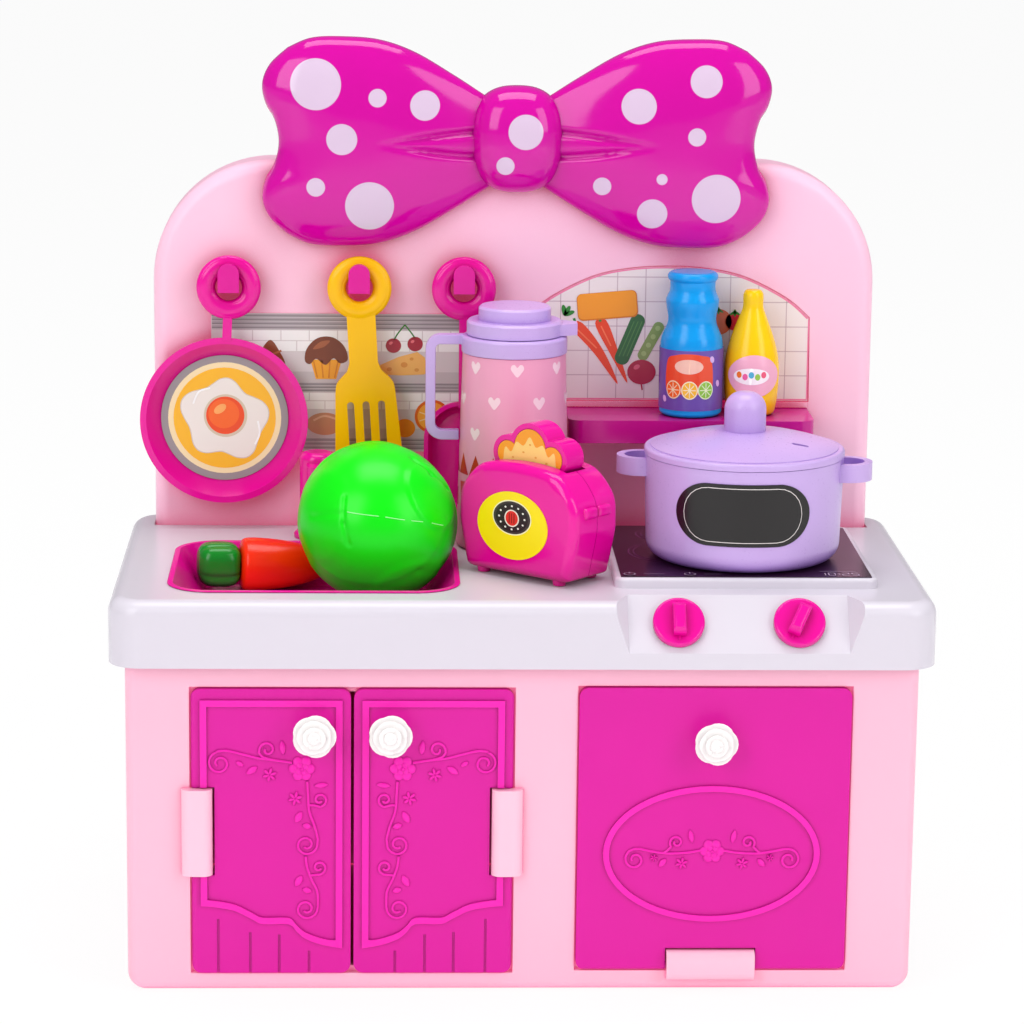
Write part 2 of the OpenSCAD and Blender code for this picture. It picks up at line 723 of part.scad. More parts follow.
module panel_cover() {
    m = panel_wall + fit;
    h = panel_top - panel_wall - fit - panel_z0 - panel_wall;
    color(pink) difference() {
        translate([0, panel_back_y - 0.6, 0]) rotate([90, 0, 0]) linear_extrude(cover_t)
            intersection() {
                translate([0, panel_z0 + panel_wall - panel_corner_r])
                    panel_shape(panel_w - 2*m, h + panel_corner_r, panel_corner_r - m);
                translate([-panel_w/2, panel_z0]) square([panel_w, panel_top]);
            }
        for (x = [-1, 1], z = panel_boss_z) translate([x*panel_boss_x, panel_back_y + cut, z])
            rotate([90, 0, 0]) cylinder(r = screw_r + 0.3, h = cover_t + 4);
    }
}

module screw(l) {
    translate([0, 0, 0]) cylinder(r = screw_r, h = l);
    difference() {
        translate([0, 0, -screw_head_h]) cylinder(r = screw_head_r, h = screw_head_h);
        for (a = [0, 90]) rotate([0, 0, a]) translate([0, 0, -screw_head_h])
            cube([3.2, 0.8, 1.4], center = true);
    }
}

module rear_screws() {
    color("#B8B8BC") {
        for (x = [-1, 1], z = rear_boss_z) translate([x*rear_boss_x, cab_d/2 - 0.8, z]) rotate([90, 0, 0])
            screw(9);
        for (x = [-1, 1], z = panel_boss_z) translate([x*panel_boss_x, panel_back_y - 0.6, z])
            rotate([90, 0, 0]) screw(9);
    }
}

// One half of the bow's outline, from its middle to the notch in its end, as shares of its half sizes.
bow_half = [[0.068, 0.386], [0.136, 0.463], [0.25, 0.639], [0.403, 0.854], [0.545, 0.97], [0.7, 1],
    [0.813, 0.981], [0.901, 0.887], [0.969, 0.733], [1, 0.559], [0.989, 0.38], [0.955, 0.226], [0.936, 0.083]];

module bow_outline(grow) {
    side = [for (p = through(bow_half, 3)) [p[0]*(bow_half_w + grow), p[1]*(bow_half_h + grow)]];
    neck = side[0][1];
    polygon(concat([[0, neck]], side, flip(side), [[0, -neck]]));
    polygon(concat([[0, neck]], [for (p = side) [-p[0], p[1]]], [for (p = flip(side)) [-p[0], p[1]]],
        [[0, -neck]]));
}

// A lobe's swelling, turned about a line along X: round across, and lower towards both ends.
module bow_lobe(inset) {
    swell = bow_crown - bow_rim;
    ball = (bow_half_h*bow_half_h + swell*swell)/(2*swell);
    fall = through([[0.05, 0.72], [0.14, 0.68], [0.25, 0.56], [0.4, 0.28], [0.545, 0.07], [0.7, 0],
        [0.82, 0.08], [0.9, 0.24], [0.97, 0.5], [1.03, 0.86]], 3);
    last = len(fall) - 1;
    translate([0, 0, bow_crown - ball]) rotate([0, 90, 0]) rotate_extrude()
        polygon(concat([[0, fall[0][0]*bow_half_w]],
            [for (p = fall) [ball - inset - p[1]*swell, p[0]*bow_half_w]], [[0, fall[last][0]*bow_half_w]]));
}

module bow_knot(inset) {
    r = knot_crown - inset;
    h = bow_half_h*0.515 - inset;
    side = through([[0.43*r, h], [0.67*r, 0.973*h], [0.84*r, 0.834*h], [0.945*r, 0.48*h], [r, 0]], 3);
    translate([0, 0.055*bow_half_h, 0]) rotate([-90, 0, 0]) rotate_extrude()
        polygon(concat([[0, h]], side, [for (i = [len(side) - 2:-1:0]) [side[i][0], -side[i][1]]], [[0, -h]]));
}

module bow_swelling(inset) {
    intersection() {
        translate([0, 0, -cut]) linear_extrude(bow_crown + 2*cut) bow_outline(-0.8 - inset);
        union() {
            bow_lobe(inset);
            mirror([1, 0, 0]) bow_lobe(inset);
        }
    }
    bow_knot(inset);
}

module bow() {
    wall = 1.9;
    pleat_l = 0.37*bow_half_w;
    color(deep_magenta) translate([0, panel_y, bow_z]) rotate([90, 0, 0]) {
        difference() {
            union() {
                linear_extrude(bow_rim) bow_outline(0);
                bow_swelling(0);
            }
            bow_swelling(wall);
            for (s = [-1, 1], v = [-1, 1]) translate([s*0.18*bow_half_w, v*2.4, bow_crown - 4.5])
                rotate([0, s*82.5, -s*v*4.2]) cylinder(r1 = 1.3, r2 = 0.3, h = pleat_l);
            translate([-bow_half_w, -bow_half_w, -bow_half_w]) cube([2*bow_half_w, 2*bow_half_w, bow_half_w]);
        }
        for (s = [-1, 1]) translate([s*0.34*bow_half_w, 0, 0]) cylinder(r = 4, h = bow_crown - 4.4);
    }
}

module hook(x) {
    neck = panel_y - ring_y + ring_t/2 + 0.6;
    tab_t2 = 2.6;
    color(magenta) translate([x, panel_y, hook_z]) rotate([90, 0, 0]) {
        translate([0, 0, -6]) cylinder(r = 2, h = 8);
        cylinder(r = hook_r, h = neck);
        translate([0, 0, neck]) linear_extrude(tab_t2) {
            translate([-hook_tab_w/2, -2.6]) square([hook_tab_w, 6.4]);
            translate([0, 3.8]) circle(hook_tab_w/2);
        }
    }
}

module utensil_hook_left() { hook(hook_x[0]); }
module utensil_hook_middle() { hook(hook_x[1]); }
module utensil_hook_right() { hook(hook_x[2]); }

module shelf() {
    t = 2.4;
    w = shelf_x1 - shelf_x0;
    corner = 5;
    color(magenta) difference() {
        union() {
            translate([(shelf_x0 + shelf_x1)/2, panel_y - shelf_d/2, shelf_z - shelf_lip]) difference() {
                linear_extrude(shelf_lip) union() {
                    rrect(w, shelf_d, corner);
                    translate([-w/2, 0]) square([w, shelf_d/2]);
                }
                translate([0, 0, -cut]) linear_extrude(shelf_lip - t + cut) union() {
                    rrect(w - 2*t, shelf_d - 2*t, corner - t);
                    translate([-w/2 + t, 0]) square([w - 2*t, shelf_d/2 - t]);
                }
            }
            for (x = [-1, 0, 1]) translate([(shelf_x0 + shelf_x1)/2 + x*w/4, panel_y - shelf_d/2,
                shelf_z - t - 2]) cube([1.6, shelf_d - 2*t, 4.2], center = true);
        }
    }
    color(magenta) shelf_pegs(0);
}

module shelf_print() {
    x0 = -106.1;
    x1 = -6;
    z0 = 159.8;
    z1 = 208.8;
    color("#D8C4C8") standing(panel_y, print_t) translate([(x0 + x1)/2, (z0 + z1)/2])
        rrect(x1 - x0, z1 - z0, 1.5);
}

module tile_print() {
    color("#EADCDC") standing(panel_y + 0.6, print_t) tile_outline(0);
}

// Doors

// The bar's section, with the pin's axis at the middle and the cabinet's face at its back.
module cap_section() {
    r = 3;
    face = door_t/2 - door_proud;
    width = cap_out + cap_in;
    intersection() {
        translate([(cap_in - cap_out)/2, -cap_front + width/2]) rrect(width, width, r);
        translate([-cap_out, -cap_front]) square([width, cap_front - face]);
    }
    translate([-door_t/2, -face]) square([cap_in + door_t/2, face + ledge_y - hinge_y]);
}

module hinge_cap() {
    color(pale_pink) difference() {
        linear_extrude(cap_l) cap_section();
        translate([0, 0, -cut]) cylinder(r = pin_r + run, h = cap_l + 2*cut);
    }
}

// A door seen with its hinge axis along Z, its face towards -Y and its free edge at +X.
// Children lie on its face and are cut away with it round the hinge cap.
module door_blank(w, h, cap_at) {
    corner = 2.4;
    notch = cap_in + cap_clear;
    free = w - door_t/2;
    difference() {
        union() {
            cylinder(r = door_t/2, h = h);
            translate([0, door_t/2, 0]) rotate([90, 0, 0]) linear_extrude(door_t) {
                square([free - corner, h]);
                translate([0, corner]) square([free, h - 2*corner]);
                for (z = [corner, h - corner]) translate([free - corner, z]) circle(corner);
            }
            translate([0, -door_t/2, 0]) rotate([90, 0, 0]) linear_extrude(frame_h) children();
        }
        translate([-door_t, -door_t, cap_at - 0.4]) cube([door_t + notch, 2*door_t, cap_l + 0.8]);
    }
    translate([0, 0, cap_at - 2]) cylinder(r = pin_r, h = cap_l + 4);
}

module knob_bore(x, z) {
    translate([x, 0, z]) rotate([90, 0, 0]) cylinder(r = 2 + run, h = 3*door_t, center = true);
}

// The frame line of a cupboard door, with the curved step above its planks.
module cupboard_frame() {
    left = 3 - door_t/2;
    right = cupboard_w - 2.7 - door_t/2;
    top = cupboard_h - 3.6;
    sweep = through([[left, 23.2], [left + 4, 22.9], [left + 11, 21.6], [left + 17, 18.6], [left + 20.4, 17],
        [left + 28.8, 17], [left + 31.5, 14.4], [left + 34.4, 11.9], [left + 40, 9.8], [right, 8.6]], 3);
    inside = [for (p = sweep) if (p[0] > left + frame_w && p[0] < right - frame_w) p];
    difference() {
        polygon(concat([[right, top], [left, top]], sweep));
        polygon(concat([[right - frame_w, top - frame_w], [left + frame_w, top - frame_w],
            [left + frame_w, inside[0][1] + frame_w]], [for (p = inside) p + [0, frame_w]],
            [[right - frame_w, inside[len(inside) - 1][1] + frame_w]]));
    }
}

module cupboard_door() {
    color(magenta) difference() {
        door_blank(cupboard_w, cupboard_h, cap_z0 - cupboard_z0) cupboard_frame();
        knob_bore(rose_reach, rose_z - cupboard_z0);
        for (g = [[7.2, 19.5], [17.7, 15], [27.2, 14.2], [37, 8.6]])
            translate([g[0], -door_t/2, -cut]) cube([0.9, 1, 2*g[1]], center = true);
    }
}

module at_left_hinge() {
    translate([cupboard_x0 + door_t/2, hinge_y, 0]) children();
}

module at_right_hinge() {
    translate([cupboard_x1 - door_t/2, hinge_y, 0]) mirror([1, 0, 0]) children();
}

// Turns a door or a cap from an upright axis to one along X, with its free edge up.
module at_oven_hinge() {
    translate([0, hinge_y, oven_axis_z]) rotate([0, -90, 0]) children();
}

module cupboard_door_left() { at_left_hinge() translate([0, 0, cupboard_z0]) cupboard_door(); }
module cupboard_door_right() { at_right_hinge() translate([0, 0, cupboard_z0]) cupboard_door(); }

module oven_door() {
    ring_rx = 35.8;
    ring_ry = 23.3;
    ring_w = 2;
    color(magenta) difference() {
        union() {
            at_oven_hinge() translate([0, 0, -oven_x0 - oven_w])
                door_blank(oven_h, oven_w, oven_w/2 - cap_l/2)
                    translate([47.6 - oven_axis_z, oven_w/2 + 0.4]) difference() {
                        polygon(oval(ring_ry, ring_rx, 60));
                        polygon(oval(ring_ry - ring_w, ring_rx - ring_w, 60));
                    }
            standing(hinge_y + door_t/2 + oven_pad_t, oven_pad_t) translate([oven_mid_x, oven_z0 + oven_h/2 + 2])
                rrect(oven_w - 13, oven_h - 17, 5);
        }
        translate([oven_mid_x, hinge_y, oven_rose_z]) rotate([90, 0, 0])
            cylinder(r = 2 + run, h = 4*door_t, center = true);
    }
}

// One ring of a rose's petals: a lobed outline under a rounded top.
module petals(r, deep, n, h, er) {
    intersection() {
        linear_extrude(h) polygon([for (i = [0:8*n - 1])
            (r - deep + deep*abs(sin(180*i/8))^0.7)*[cos(45*i/n), sin(45*i/n)]]);
        rotate_extrude() soft_half(r + 0.3, h, er);
    }
}

// A knob in the shape of a rose: rings of petals that step up to a bud, on a short stem.
module rose() {
    color("#F4F2F0") rotate([90, 0, 0]) {
        rotate_extrude() polygon([[0, -door_t], [2, -door_t], [2, 0], [3.4, 0], [rose_r - 2, rose_h - 7],
            [rose_r - 2, rose_h - 6], [0, rose_h - 6]]);
        translate([0, 0, rose_h - 7]) petals(rose_r, 1.1, 5, 4.6, 1.8);
        translate([0, 0, rose_h - 5]) rotate([0, 0, 33]) petals(rose_r - 2, 0.9, 5, 3.8, 1.4);
        translate([0, 0, rose_h - 4]) rotate([0, 0, 10]) petals(rose_r - 4.1, 0.6, 3, 4, 1.2);
    }
}

module door_knob_left() { at_left_hinge() translate([rose_reach, -door_t/2, rose_z]) rose(); }
module door_knob_right() { at_right_hinge() translate([rose_reach, -door_t/2, rose_z]) rose(); }
module oven_door_knob() { translate([oven_mid_x, hinge_y - door_t/2, oven_rose_z]) rose(); }
module hinge_cap_left() { at_left_hinge() translate([0, 0, cap_z0]) hinge_cap(); }
module hinge_cap_right() { at_right_hinge() translate([0, 0, cap_z0]) hinge_cap(); }
module hinge_cap_oven() { at_oven_hinge() translate([0, 0, -oven_mid_x - cap_l/2]) hinge_cap(); }

// Hanging utensils, drawn with the ring's middle at the origin and hanging down along -Z

module utensil_ring() {
    r = ring_t/2;
    rotate([90, 0, 0]) rotate_extrude() {
        for (x = [ring_hole_r + r, ring_r - r]) translate([x, 0]) circle(r);
        translate([ring_hole_r + r, -r]) square([ring_r - ring_hole_r - ring_t, ring_t]);
    }
}

module hang(i, lean) {
    translate([hook_x[i], ring_y, hook_z]) rotate([0, lean, 0]) translate([0, 0, ring_z - hook_z]) children();
}

module frying_pan() {
    floor_r = 23;
    wall = 1.6;
    back = panel_y - fit - ring_y;
    color(deep_magenta) hang(0, pan_lean) {
        utensil_ring();
        translate([-rod_w/2, -ring_t/2 + 0.3, -pan_drop + pan_r - 1]) cube([rod_w, ring_t - 0.6,
            pan_drop - pan_r - ring_r + 2]);
        translate([0, back, -pan_drop]) rotate([90, 0, 0]) rotate_extrude()
            polygon([[0, 0], [floor_r, 0], [pan_r - 1.6, pan_deep - 1], [pan_r, pan_deep - 0.8],
                [pan_r, pan_deep], [pan_r - 2.2, pan_deep], [floor_r - 0.6, wall], [0, wall]]);
    }
}

module egg_sticker() {
    color("#F2E2B0") hang(0, pan_lean) translate([0, panel_y - fit - ring_y - 1.6, -pan_drop]) rotate([90, 0, 0])
        cylinder(r = 22.2, h = print_t);
}

module spatula() {
    shaft_w = 10;
    shaft_top = ring_r - 2;
    blade_top = 27;
    flare = 1.6;
    t = 2.6;
    slot_w = 2.4;
    color("#FDB914") hang(1, spatula_lean) {
        utensil_ring();
        translate([0, t/2, 0]) rotate([90, 0, 0]) linear_extrude(t) difference() {
            union() {
                translate([-shaft_w/2, -blade_top - 3]) square([shaft_w, blade_top + 3 - shaft_top]);
                polygon(concat(through([[-shaft_w/2, -blade_top + 1], [-shaft_w/2 - 1, -blade_top - 2],
                    [-spatula_w/2 + 3, -blade_top - 3.6], [-spatula_w/2 + 0.6, -blade_top - 6.4],
                    [-spatula_w/2, -blade_top - 10]], 3),
                    [[-spatula_w/2 - flare, -spatula_l + 2], [-spatula_w/2 - flare + 2, -spatula_l],
                    [spatula_w/2 + flare - 2, -spatula_l], [spatula_w/2 + flare, -spatula_l + 2]],
                    through([[spatula_w/2, -blade_top - 10], [spatula_w/2 - 0.6, -blade_top - 6.4],
                    [spatula_w/2 - 3, -blade_top - 3.6], [shaft_w/2 + 1, -blade_top - 2],
                    [shaft_w/2, -blade_top + 1]], 3)));
            }
            for (x = [-5.4, 0, 5.4]) {
                translate([x - slot_w/2, -spatula_l + 5]) square([slot_w, spatula_l - blade_top - 19]);
                translate([x, -blade_top - 14]) circle(slot_w/2);
                translate([x, -spatula_l + 5]) circle(slot_w/2);
            }
        }
    }
}

module serving_spoon() {
    deep = 6;
    wall = 1.5;
    rod_l = 40;
    corner = spoon_r - 0.4;
    back = panel_y - fit - ring_y;
    low = -rod_l - spoon_l;
    color(deep_magenta) hang(2, 0) {
        utensil_ring();
        translate([-rod_w/2, -ring_t/2 + 0.3, -rod_l - 2]) cube([rod_w, ring_t - 0.6, rod_l - ring_r + 4]);
        translate([0, back - deep, low + spoon_l/2]) rotate([-90, 0, 0]) difference() {
            profiled_slab(2*spoon_r, spoon_l, corner, [[0, 0], [0, 1.4], [1.6, 4], [4, deep]]);
            profiled_slab(2*spoon_r, spoon_l, corner, [[wall, -cut], [wall, 1.2], [3, 3.6], [5, deep - wall]]);
        }
    }
}

// Pot

module on_pot() {
    translate([pot_x, pot_y, pot_z]) children();
}

pot_base_r = pot_r - 0.8;

module pot_body() {
    handle_r = 8.4;
    handle_wall = 2.6;
    handle_h = 6;
    handle_z = pot_h - 7.4;
    foot = 6;
    color(lavender) on_pot() {
        difference() {
            union() {
                rotate_extrude() {
                    polygon([[0, 0], [pot_base_r - foot, 0], [pot_base_r - foot, foot], [pot_base_r, foot],
                        [pot_r, pot_h], [0, pot_h]]);
                    intersection() {
                        translate([pot_base_r - foot, foot]) circle(foot);
                        square([pot_base_r, foot]);
                    }
                }
                rotate([0, 0, pot_turn]) for (s = [-1, 1])
                    translate([s*(handle_reach - handle_r), 0, handle_z]) difference() {
                        union() {
                            cylinder(r = handle_r, h = handle_h);
                            translate([s > 0 ? -handle_r : 0, -handle_r, 0]) cube([handle_r, 2*handle_r, handle_h]);
                        }
                        translate([0, 0, -cut]) cylinder(r = handle_r - handle_wall, h = handle_h + 2*cut);
                        translate([s > 0 ? -2*handle_r : 0, -handle_r + handle_wall, -cut])
                            cube([2*handle_r, 2*(handle_r - handle_wall), handle_h + 2*cut]);
                    }
            }
            translate([0, 0, pot_wall]) cylinder(r1 = pot_base_r - pot_wall - 1.5, r2 = pot_r - pot_wall,
                h = pot_h - pot_wall + 0.01);
        }
    }
}

module pot_lid() {
    dome = 6;
    edge = 2.4;
    knob_h = 14;
    lid_knob_r = 7;
    skirt = 2.2;
    ball = (pot_r*pot_r + dome*dome)/(2*dome);
    color(lavender) on_pot() translate([0, 0, pot_h + seat]) difference() {
        union() {
            rotate_extrude() soft_half(pot_r + 0.2, edge, 1.1);
            intersection() {
                translate([0, 0, edge - 0.4 + dome - ball]) sphere(ball, $fn = 96);
                translate([0, 0, 1]) cylinder(r = pot_r - 2, h = dome + edge);
            }
            translate([0, 0, edge + dome - 1.4]) rotate_extrude() soft_half(lid_knob_r, knob_h, 6);
            translate([0, 0, -skirt - seat]) cylinder(r = pot_r - pot_wall - 0.5, h = skirt + seat + 0.5);
        }
        translate([0, 0, -skirt - seat - cut]) cylinder(r = pot_r - pot_wall - 2, h = skirt + cut);
        translate([0.51*pot_r, -0.42*pot_r, -skirt - cut]) linear_extrude(4*dome) {
            square([4, 1.8], center = true);
            for (s = [-1, 1]) translate([2*s, 0]) circle(0.9);
        }
    }
}

module pot_label() {
    label_w = 44;
    label_h = 21;
    mid_z = 20.3;
    t = print_t;
    color("#26201E") on_pot() rotate([0, 0, -6]) intersection() {
        rotate_extrude() polygon([[pot_base_r, 6], [pot_base_r + t, 6], [pot_r + t, pot_h], [pot_r, pot_h]]);
        translate([0, 0, mid_z]) rotate([90, 0, 0]) linear_extrude(pot_r + 2) rrect(label_w, label_h, label_h/2 - 0.1);
    }
}

// Jug

module on_jug() {
    translate([jug_x, jug_y, jug_z]) children();
}

module jug_body() {
    color("#F0A9C6") on_jug() rotate_extrude()
        polygon([[0, 0], [jug_base_r - 1, 0], [jug_base_r, 1], [jug_top_r, jug_h], [jug_top_r - jug_wall, jug_h],
            [jug_base_r - jug_wall, jug_wall + 1], [jug_base_r - jug_wall - 1, jug_wall], [0, jug_wall]]);
}

// A quarter of a ring that joins two straight lengths of the handle.
module handle_bend(r, w, x, y) {
    intersection() {
        difference() {
            circle(r);
            circle(r - w);
        }
        translate([x < 0 ? -r : 0, y < 0 ? -r : 0]) square(r);
    }
}

module jug_collar() {
    ring_h = 6;
    lip = 3;
    reach = 30.4;
    drop = 30.6;
    w = 4;
    grip = 3.4;
    top_bend = 5;
    low_bend = 6;
    inner_r = 15.6;
    side_r = jug_base_r - (jug_base_r - jug_top_r)*(jug_h - drop)/jug_h;
    color(lavender) on_jug() {
        translate([0, 0, jug_h]) rotate_extrude()
            polygon([[inner_r, 0], [jug_top_r + 0.4, 0], [jug_top_r + 0.4, ring_h - 0.8],
                [jug_top_r - 0.4, ring_h], [inner_r - 1, ring_h], [inner_r - 1, 3], [inner_r - 1, -lip],
                [inner_r, -lip]]);
        translate([0, w/2, jug_h]) rotate([90, 0, 0]) linear_extrude(w) {
            translate([-reach, low_bend - drop]) square([grip, drop + ring_h - low_bend - top_bend]);
            translate([top_bend - reach, ring_h - grip]) square([reach - jug_top_r - top_bend + 1, grip]);
            translate([low_bend - reach, -drop]) square([reach - low_bend - side_r - fit, grip]);
            translate([top_bend - reach, ring_h - top_bend]) handle_bend(top_bend, grip, -1, 1);
            translate([low_bend - reach, low_bend - drop]) handle_bend(low_bend, grip, -1, -1);
        }
    }
}

module jug_lid() {
    step_r = 16.4;
    step_h = 5;
    top_r = 12.4;
    top_h = 4.8;
    spout_l = 21.4;
    plug_r = 14.2;
    color(lavender) on_jug() translate([0, 0, jug_h + 6 + seat]) {
        rotate_extrude() polygon([[0, 0], [step_r, 0], [step_r, step_h - 0.8], [step_r - 0.8, step_h],
            [top_r, step_h], [top_r, step_h + top_h - 0.8], [top_r - 0.8, step_h + top_h], [0, step_h + top_h]]);
        translate([0, 0, -2.4]) cylinder(r = plug_r, h = 3);
        linear_extrude(step_h - 1) polygon([[8, -9], [15, -6.2], [spout_l, -2.6], [spout_l, 2.6], [15, 6.2],
            [8, 9]]);
    }
}

// Toaster

module on_toaster() {
    translate([toaster_x, toaster_y, toaster_z]) rotate([0, 0, toaster_turn]) children();
}

// The toaster's front view: sides that lean out, round lower corners and an arched top.
module toaster_face(grow) {
    half = toaster_w/2 - grow;
    foot = toaster_foot_h + grow;
    low = half - 2.8;
    top = toaster_h - grow;
    polygon(concat([[-low + 3, foot], [low - 3, foot]],
        through([[low - 3, foot], [low - 0.8, foot + 0.8], [low, foot + 3], [half - 0.3, 16], [half, 20],
            [half - 0.3, 26], [half - 2.2, 30.4], [half - 7, top - 3.2], [12, top - 0.9], [0, top],
            [-12, top - 0.9], [-half + 7, top - 3.2], [-half + 2.2, 30.4], [-half + 0.3, 26], [-half, 20],
            [-half + 0.3, 16], [-low, foot + 3], [-low + 0.8, foot + 0.8], [-low + 3, foot]], 3)));
}

module toaster_solid(grow) {
    intersection() {
        translate([0, toaster_d/2, 0]) rotate([90, 0, 0]) linear_extrude(toaster_d) toaster_face(grow);
        linear_extrude(toaster_h) rrect(toaster_w - 2*grow, toaster_d - 2*grow, toaster_corner_r - grow);
    }
}

module toaster_shell() {
    slot_w = toast_w + 2*fit;
    slot_t = toast_t + 2*fit;
    difference() {
        union() {
            difference() {
                toaster_solid(0);
                toaster_solid(toaster_wall);
            }
            intersection() {
                translate([0, 0, 22]) linear_extrude(4) rrect(toaster_w - 0.1, toaster_d - 0.1, toaster_corner_r);
                difference() {
                    cube([2*toaster_w, toaster_d, 80], center = true);
                    cube([toaster_w - 8, 2*toaster_d, 90], center = true);
                }
            }
            for (x = [-1, 1], y = [-1, 1]) translate([x*(toaster_w/2 - 9), y*(toaster_d/2 - 4), 0])
                cylinder(r = 2.4, h = toaster_foot_h + 0.6);
        }
        translate([-slot_w/2, -slot_t/2, toaster_h/2]) cube([slot_w, slot_t, toaster_h]);
    }
}

module toaster_half(s) {
    seam = 0.1;
    color(deep_magenta) on_toaster() intersection() {
        toaster_shell();
        translate([-toaster_w, s > 0 ? seam : -toaster_d, -cut]) cube([2*toaster_w, toaster_d - seam, 2*toaster_h]);
    }
}

module toaster_front() { toaster_half(-1); }
module toaster_rear() { toaster_half(1); }

module toaster_sticker() {
    color("#FFE000") on_toaster() translate([-2, -toaster_d/2, 19]) rotate([90, 0, 0])
        cylinder(r = 11.4, h = print_t);
}

// The toast's front view: a slice with two round shoulders and a higher crown between them.
module toast_face(grow) {
    shoulder = 0.2*toast_w;
    crown = 0.275*toast_w;
    top = toaster_h + 6.6;
    for (x = [-1, 1]) translate([x*(toast_w/2 - shoulder), top - 1.3*crown]) circle(shoulder - grow);
    translate([0, top - crown]) circle(crown - grow);
    translate([-toast_w/2 + 1.6 + grow, 4 + grow]) square([toast_w - 3.2 - 2*grow, top - 1.3*crown - 4]);
}

module toast_slice() {
    color(deep_magenta) on_toaster() translate([0, 0, toast_lift]) difference() {
        translate([0, toast_t/2, 0]) rotate([90, 0, 0]) linear_extrude(toast_t) toast_face(0);
        translate([0, print_t - toast_t/2, 0]) rotate([90, 0, 0]) linear_extrude(1) toast_face(toast_rim);
    }
}

module toast_sticker() {
    color("#F7A81C") on_toaster() translate([0, print_t - toast_t/2, toast_lift]) rotate([90, 0, 0])
        linear_extrude(print_t) intersection() {
            toast_face(toast_rim + 0.2);
            translate([-toast_w, 20]) square([2*toast_w, 40]);
        }
}

// Bottles on the shelf

module blue_bottle() {
    h = blue_h;
    side = through([[blue_r, 24], [blue_r - 0.4, 27.2], [blue_r - 2.2, 31.4], [blue_r - 2.5, 34.2], [blue_r - 1.9, 37.4], [blue_r - 1.7, 40.4],
        [blue_r - 2.9, 43.2], [blue_r - 3, 46], [blue_r - 2.9, h - 3.2], [blue_r - 2.3, h - 2.6],
        [blue_r - 2.1, h - 1.4], [blue_r - 2.6, h - 0.4]], 2);
    color("#009CEB") translate([blue_x, blue_y, bottle_z]) rotate_extrude()
        polygon(concat([[0, 0], [blue_r - 1, 0], [blue_r, 1]], side, [[blue_r - 3.4, h], [0, h]]));
}

module blue_bottle_label() {
    color("#6E4FA8") translate([blue_x, blue_y, bottle_z + 2.6]) rotate_extrude()
        translate([blue_r, 0]) square([print_t, 21]);
}

yellow_neck = 3.6;
yellow_side = through([[yellow_r - 2.6, 0], [yellow_r - 1.4, 1], [yellow_r - 0.4, 6], [yellow_r, 14],
    [yellow_r - 0.4, 20], [yellow_r - 2.2, 27], [yellow_neck + 1.2, 34], [yellow_neck, 37.4],
    [yellow_neck, yellow_h - 2.4], [yellow_neck - 0.3, yellow_h - 1]], 3);

module yellow_bottle() {
    color("#FFC20E") translate([yellow_x, yellow_y, bottle_z]) rotate_extrude()
        polygon(concat([[0, 0]], yellow_side, [[yellow_neck - 1, yellow_h], [0, yellow_h]]));
}

module yellow_bottle_label() {
    covered = [for (p = yellow_side) if (p[1] > 5 && p[1] < 25) p];
    color("#F6B9CC") translate([yellow_x, yellow_y, bottle_z]) intersection() {
        rotate_extrude() polygon(concat([for (p = covered) [p[0] + print_t, p[1]]],
            [for (i = [len(covered) - 1:-1:0]) covered[i]]));
        translate([0, 0, 14.4]) rotate([90, 0, 0]) linear_extrude(yellow_r + 2) polygon(oval(8.6, 7.4, 40));
    }
}

// Vegetables in the sink

module cabbage() {
    leaf = cabbage_r - 3.4;
    out = cabbage_r - leaf;
    color("#18E018") translate([cabbage_x, cabbage_y, cabbage_z]) {
        sphere(cabbage_core);
        for (a = [[20, 30], [92, -8], [165, 34], [238, 4], [310, 26]])
            rotate([0, a[1], a[0]]) translate([out, 0, 0]) sphere(leaf);
    }
}

module on_carrot() {
    translate([carrot_x, carrot_y, carrot_z]) rotate([0, 90 + carrot_dip, carrot_turn]) children();
}

module carrot_body() {
    color("#FA3C0A") on_carrot() rotate_extrude()
        polygon(concat([[0, 0]], through([[leaf_r - 2.4, 0], [carrot_r - 1, 0.8], [carrot_r, 3], [carrot_r - 0.3, 10],
            [carrot_r - 1.2, 17], [carrot_r - 2.8, 23.6], [carrot_r - 5, carrot_l - 4],
            [carrot_r - 6.8, carrot_l - 1.2]], 3), [[1.2, carrot_l], [0, carrot_l]]));
}

module carrot_top() {
    color("#0A8A1E") on_carrot() translate([0, 0, -leaf_l]) rotate_extrude()
        polygon(concat([[0, 0]], through([[3, 0], [leaf_r - 1.6, 1.2], [leaf_r - 0.3, 4], [leaf_r, 8],
            [leaf_r - 0.4, 12], [leaf_r - 2.4, leaf_l]], 3), [[0, leaf_l]]));
}

cabinet_body();
cabinet_back();
divider_wall();
worktop();
sink_basin();
tap_collar();
tap();
hob_sticker();
hob_knob_left();
hob_knob_right();
back_panel();
panel_cover();
bow();
utensil_hook_left();
utensil_hook_middle();
utensil_hook_right();
shelf();
shelf_print();
tile_print();
rear_screws();
cupboard_door_left();
door_knob_left();
cupboard_door_right();
door_knob_right();
oven_door();
oven_door_knob();
hinge_cap_left();
hinge_cap_right();
hinge_cap_oven();
frying_pan();
egg_sticker();
spatula();
serving_spoon();
jug_body();
jug_collar();
jug_lid();
toaster_front();
toaster_rear();
toaster_sticker();
toast_slice();
toast_sticker();
pot_body();
pot_lid();
pot_label();
blue_bottle();
blue_bottle_label();
yellow_bottle();
yellow_bottle_label();
cabbage();
carrot_body();
carrot_top();
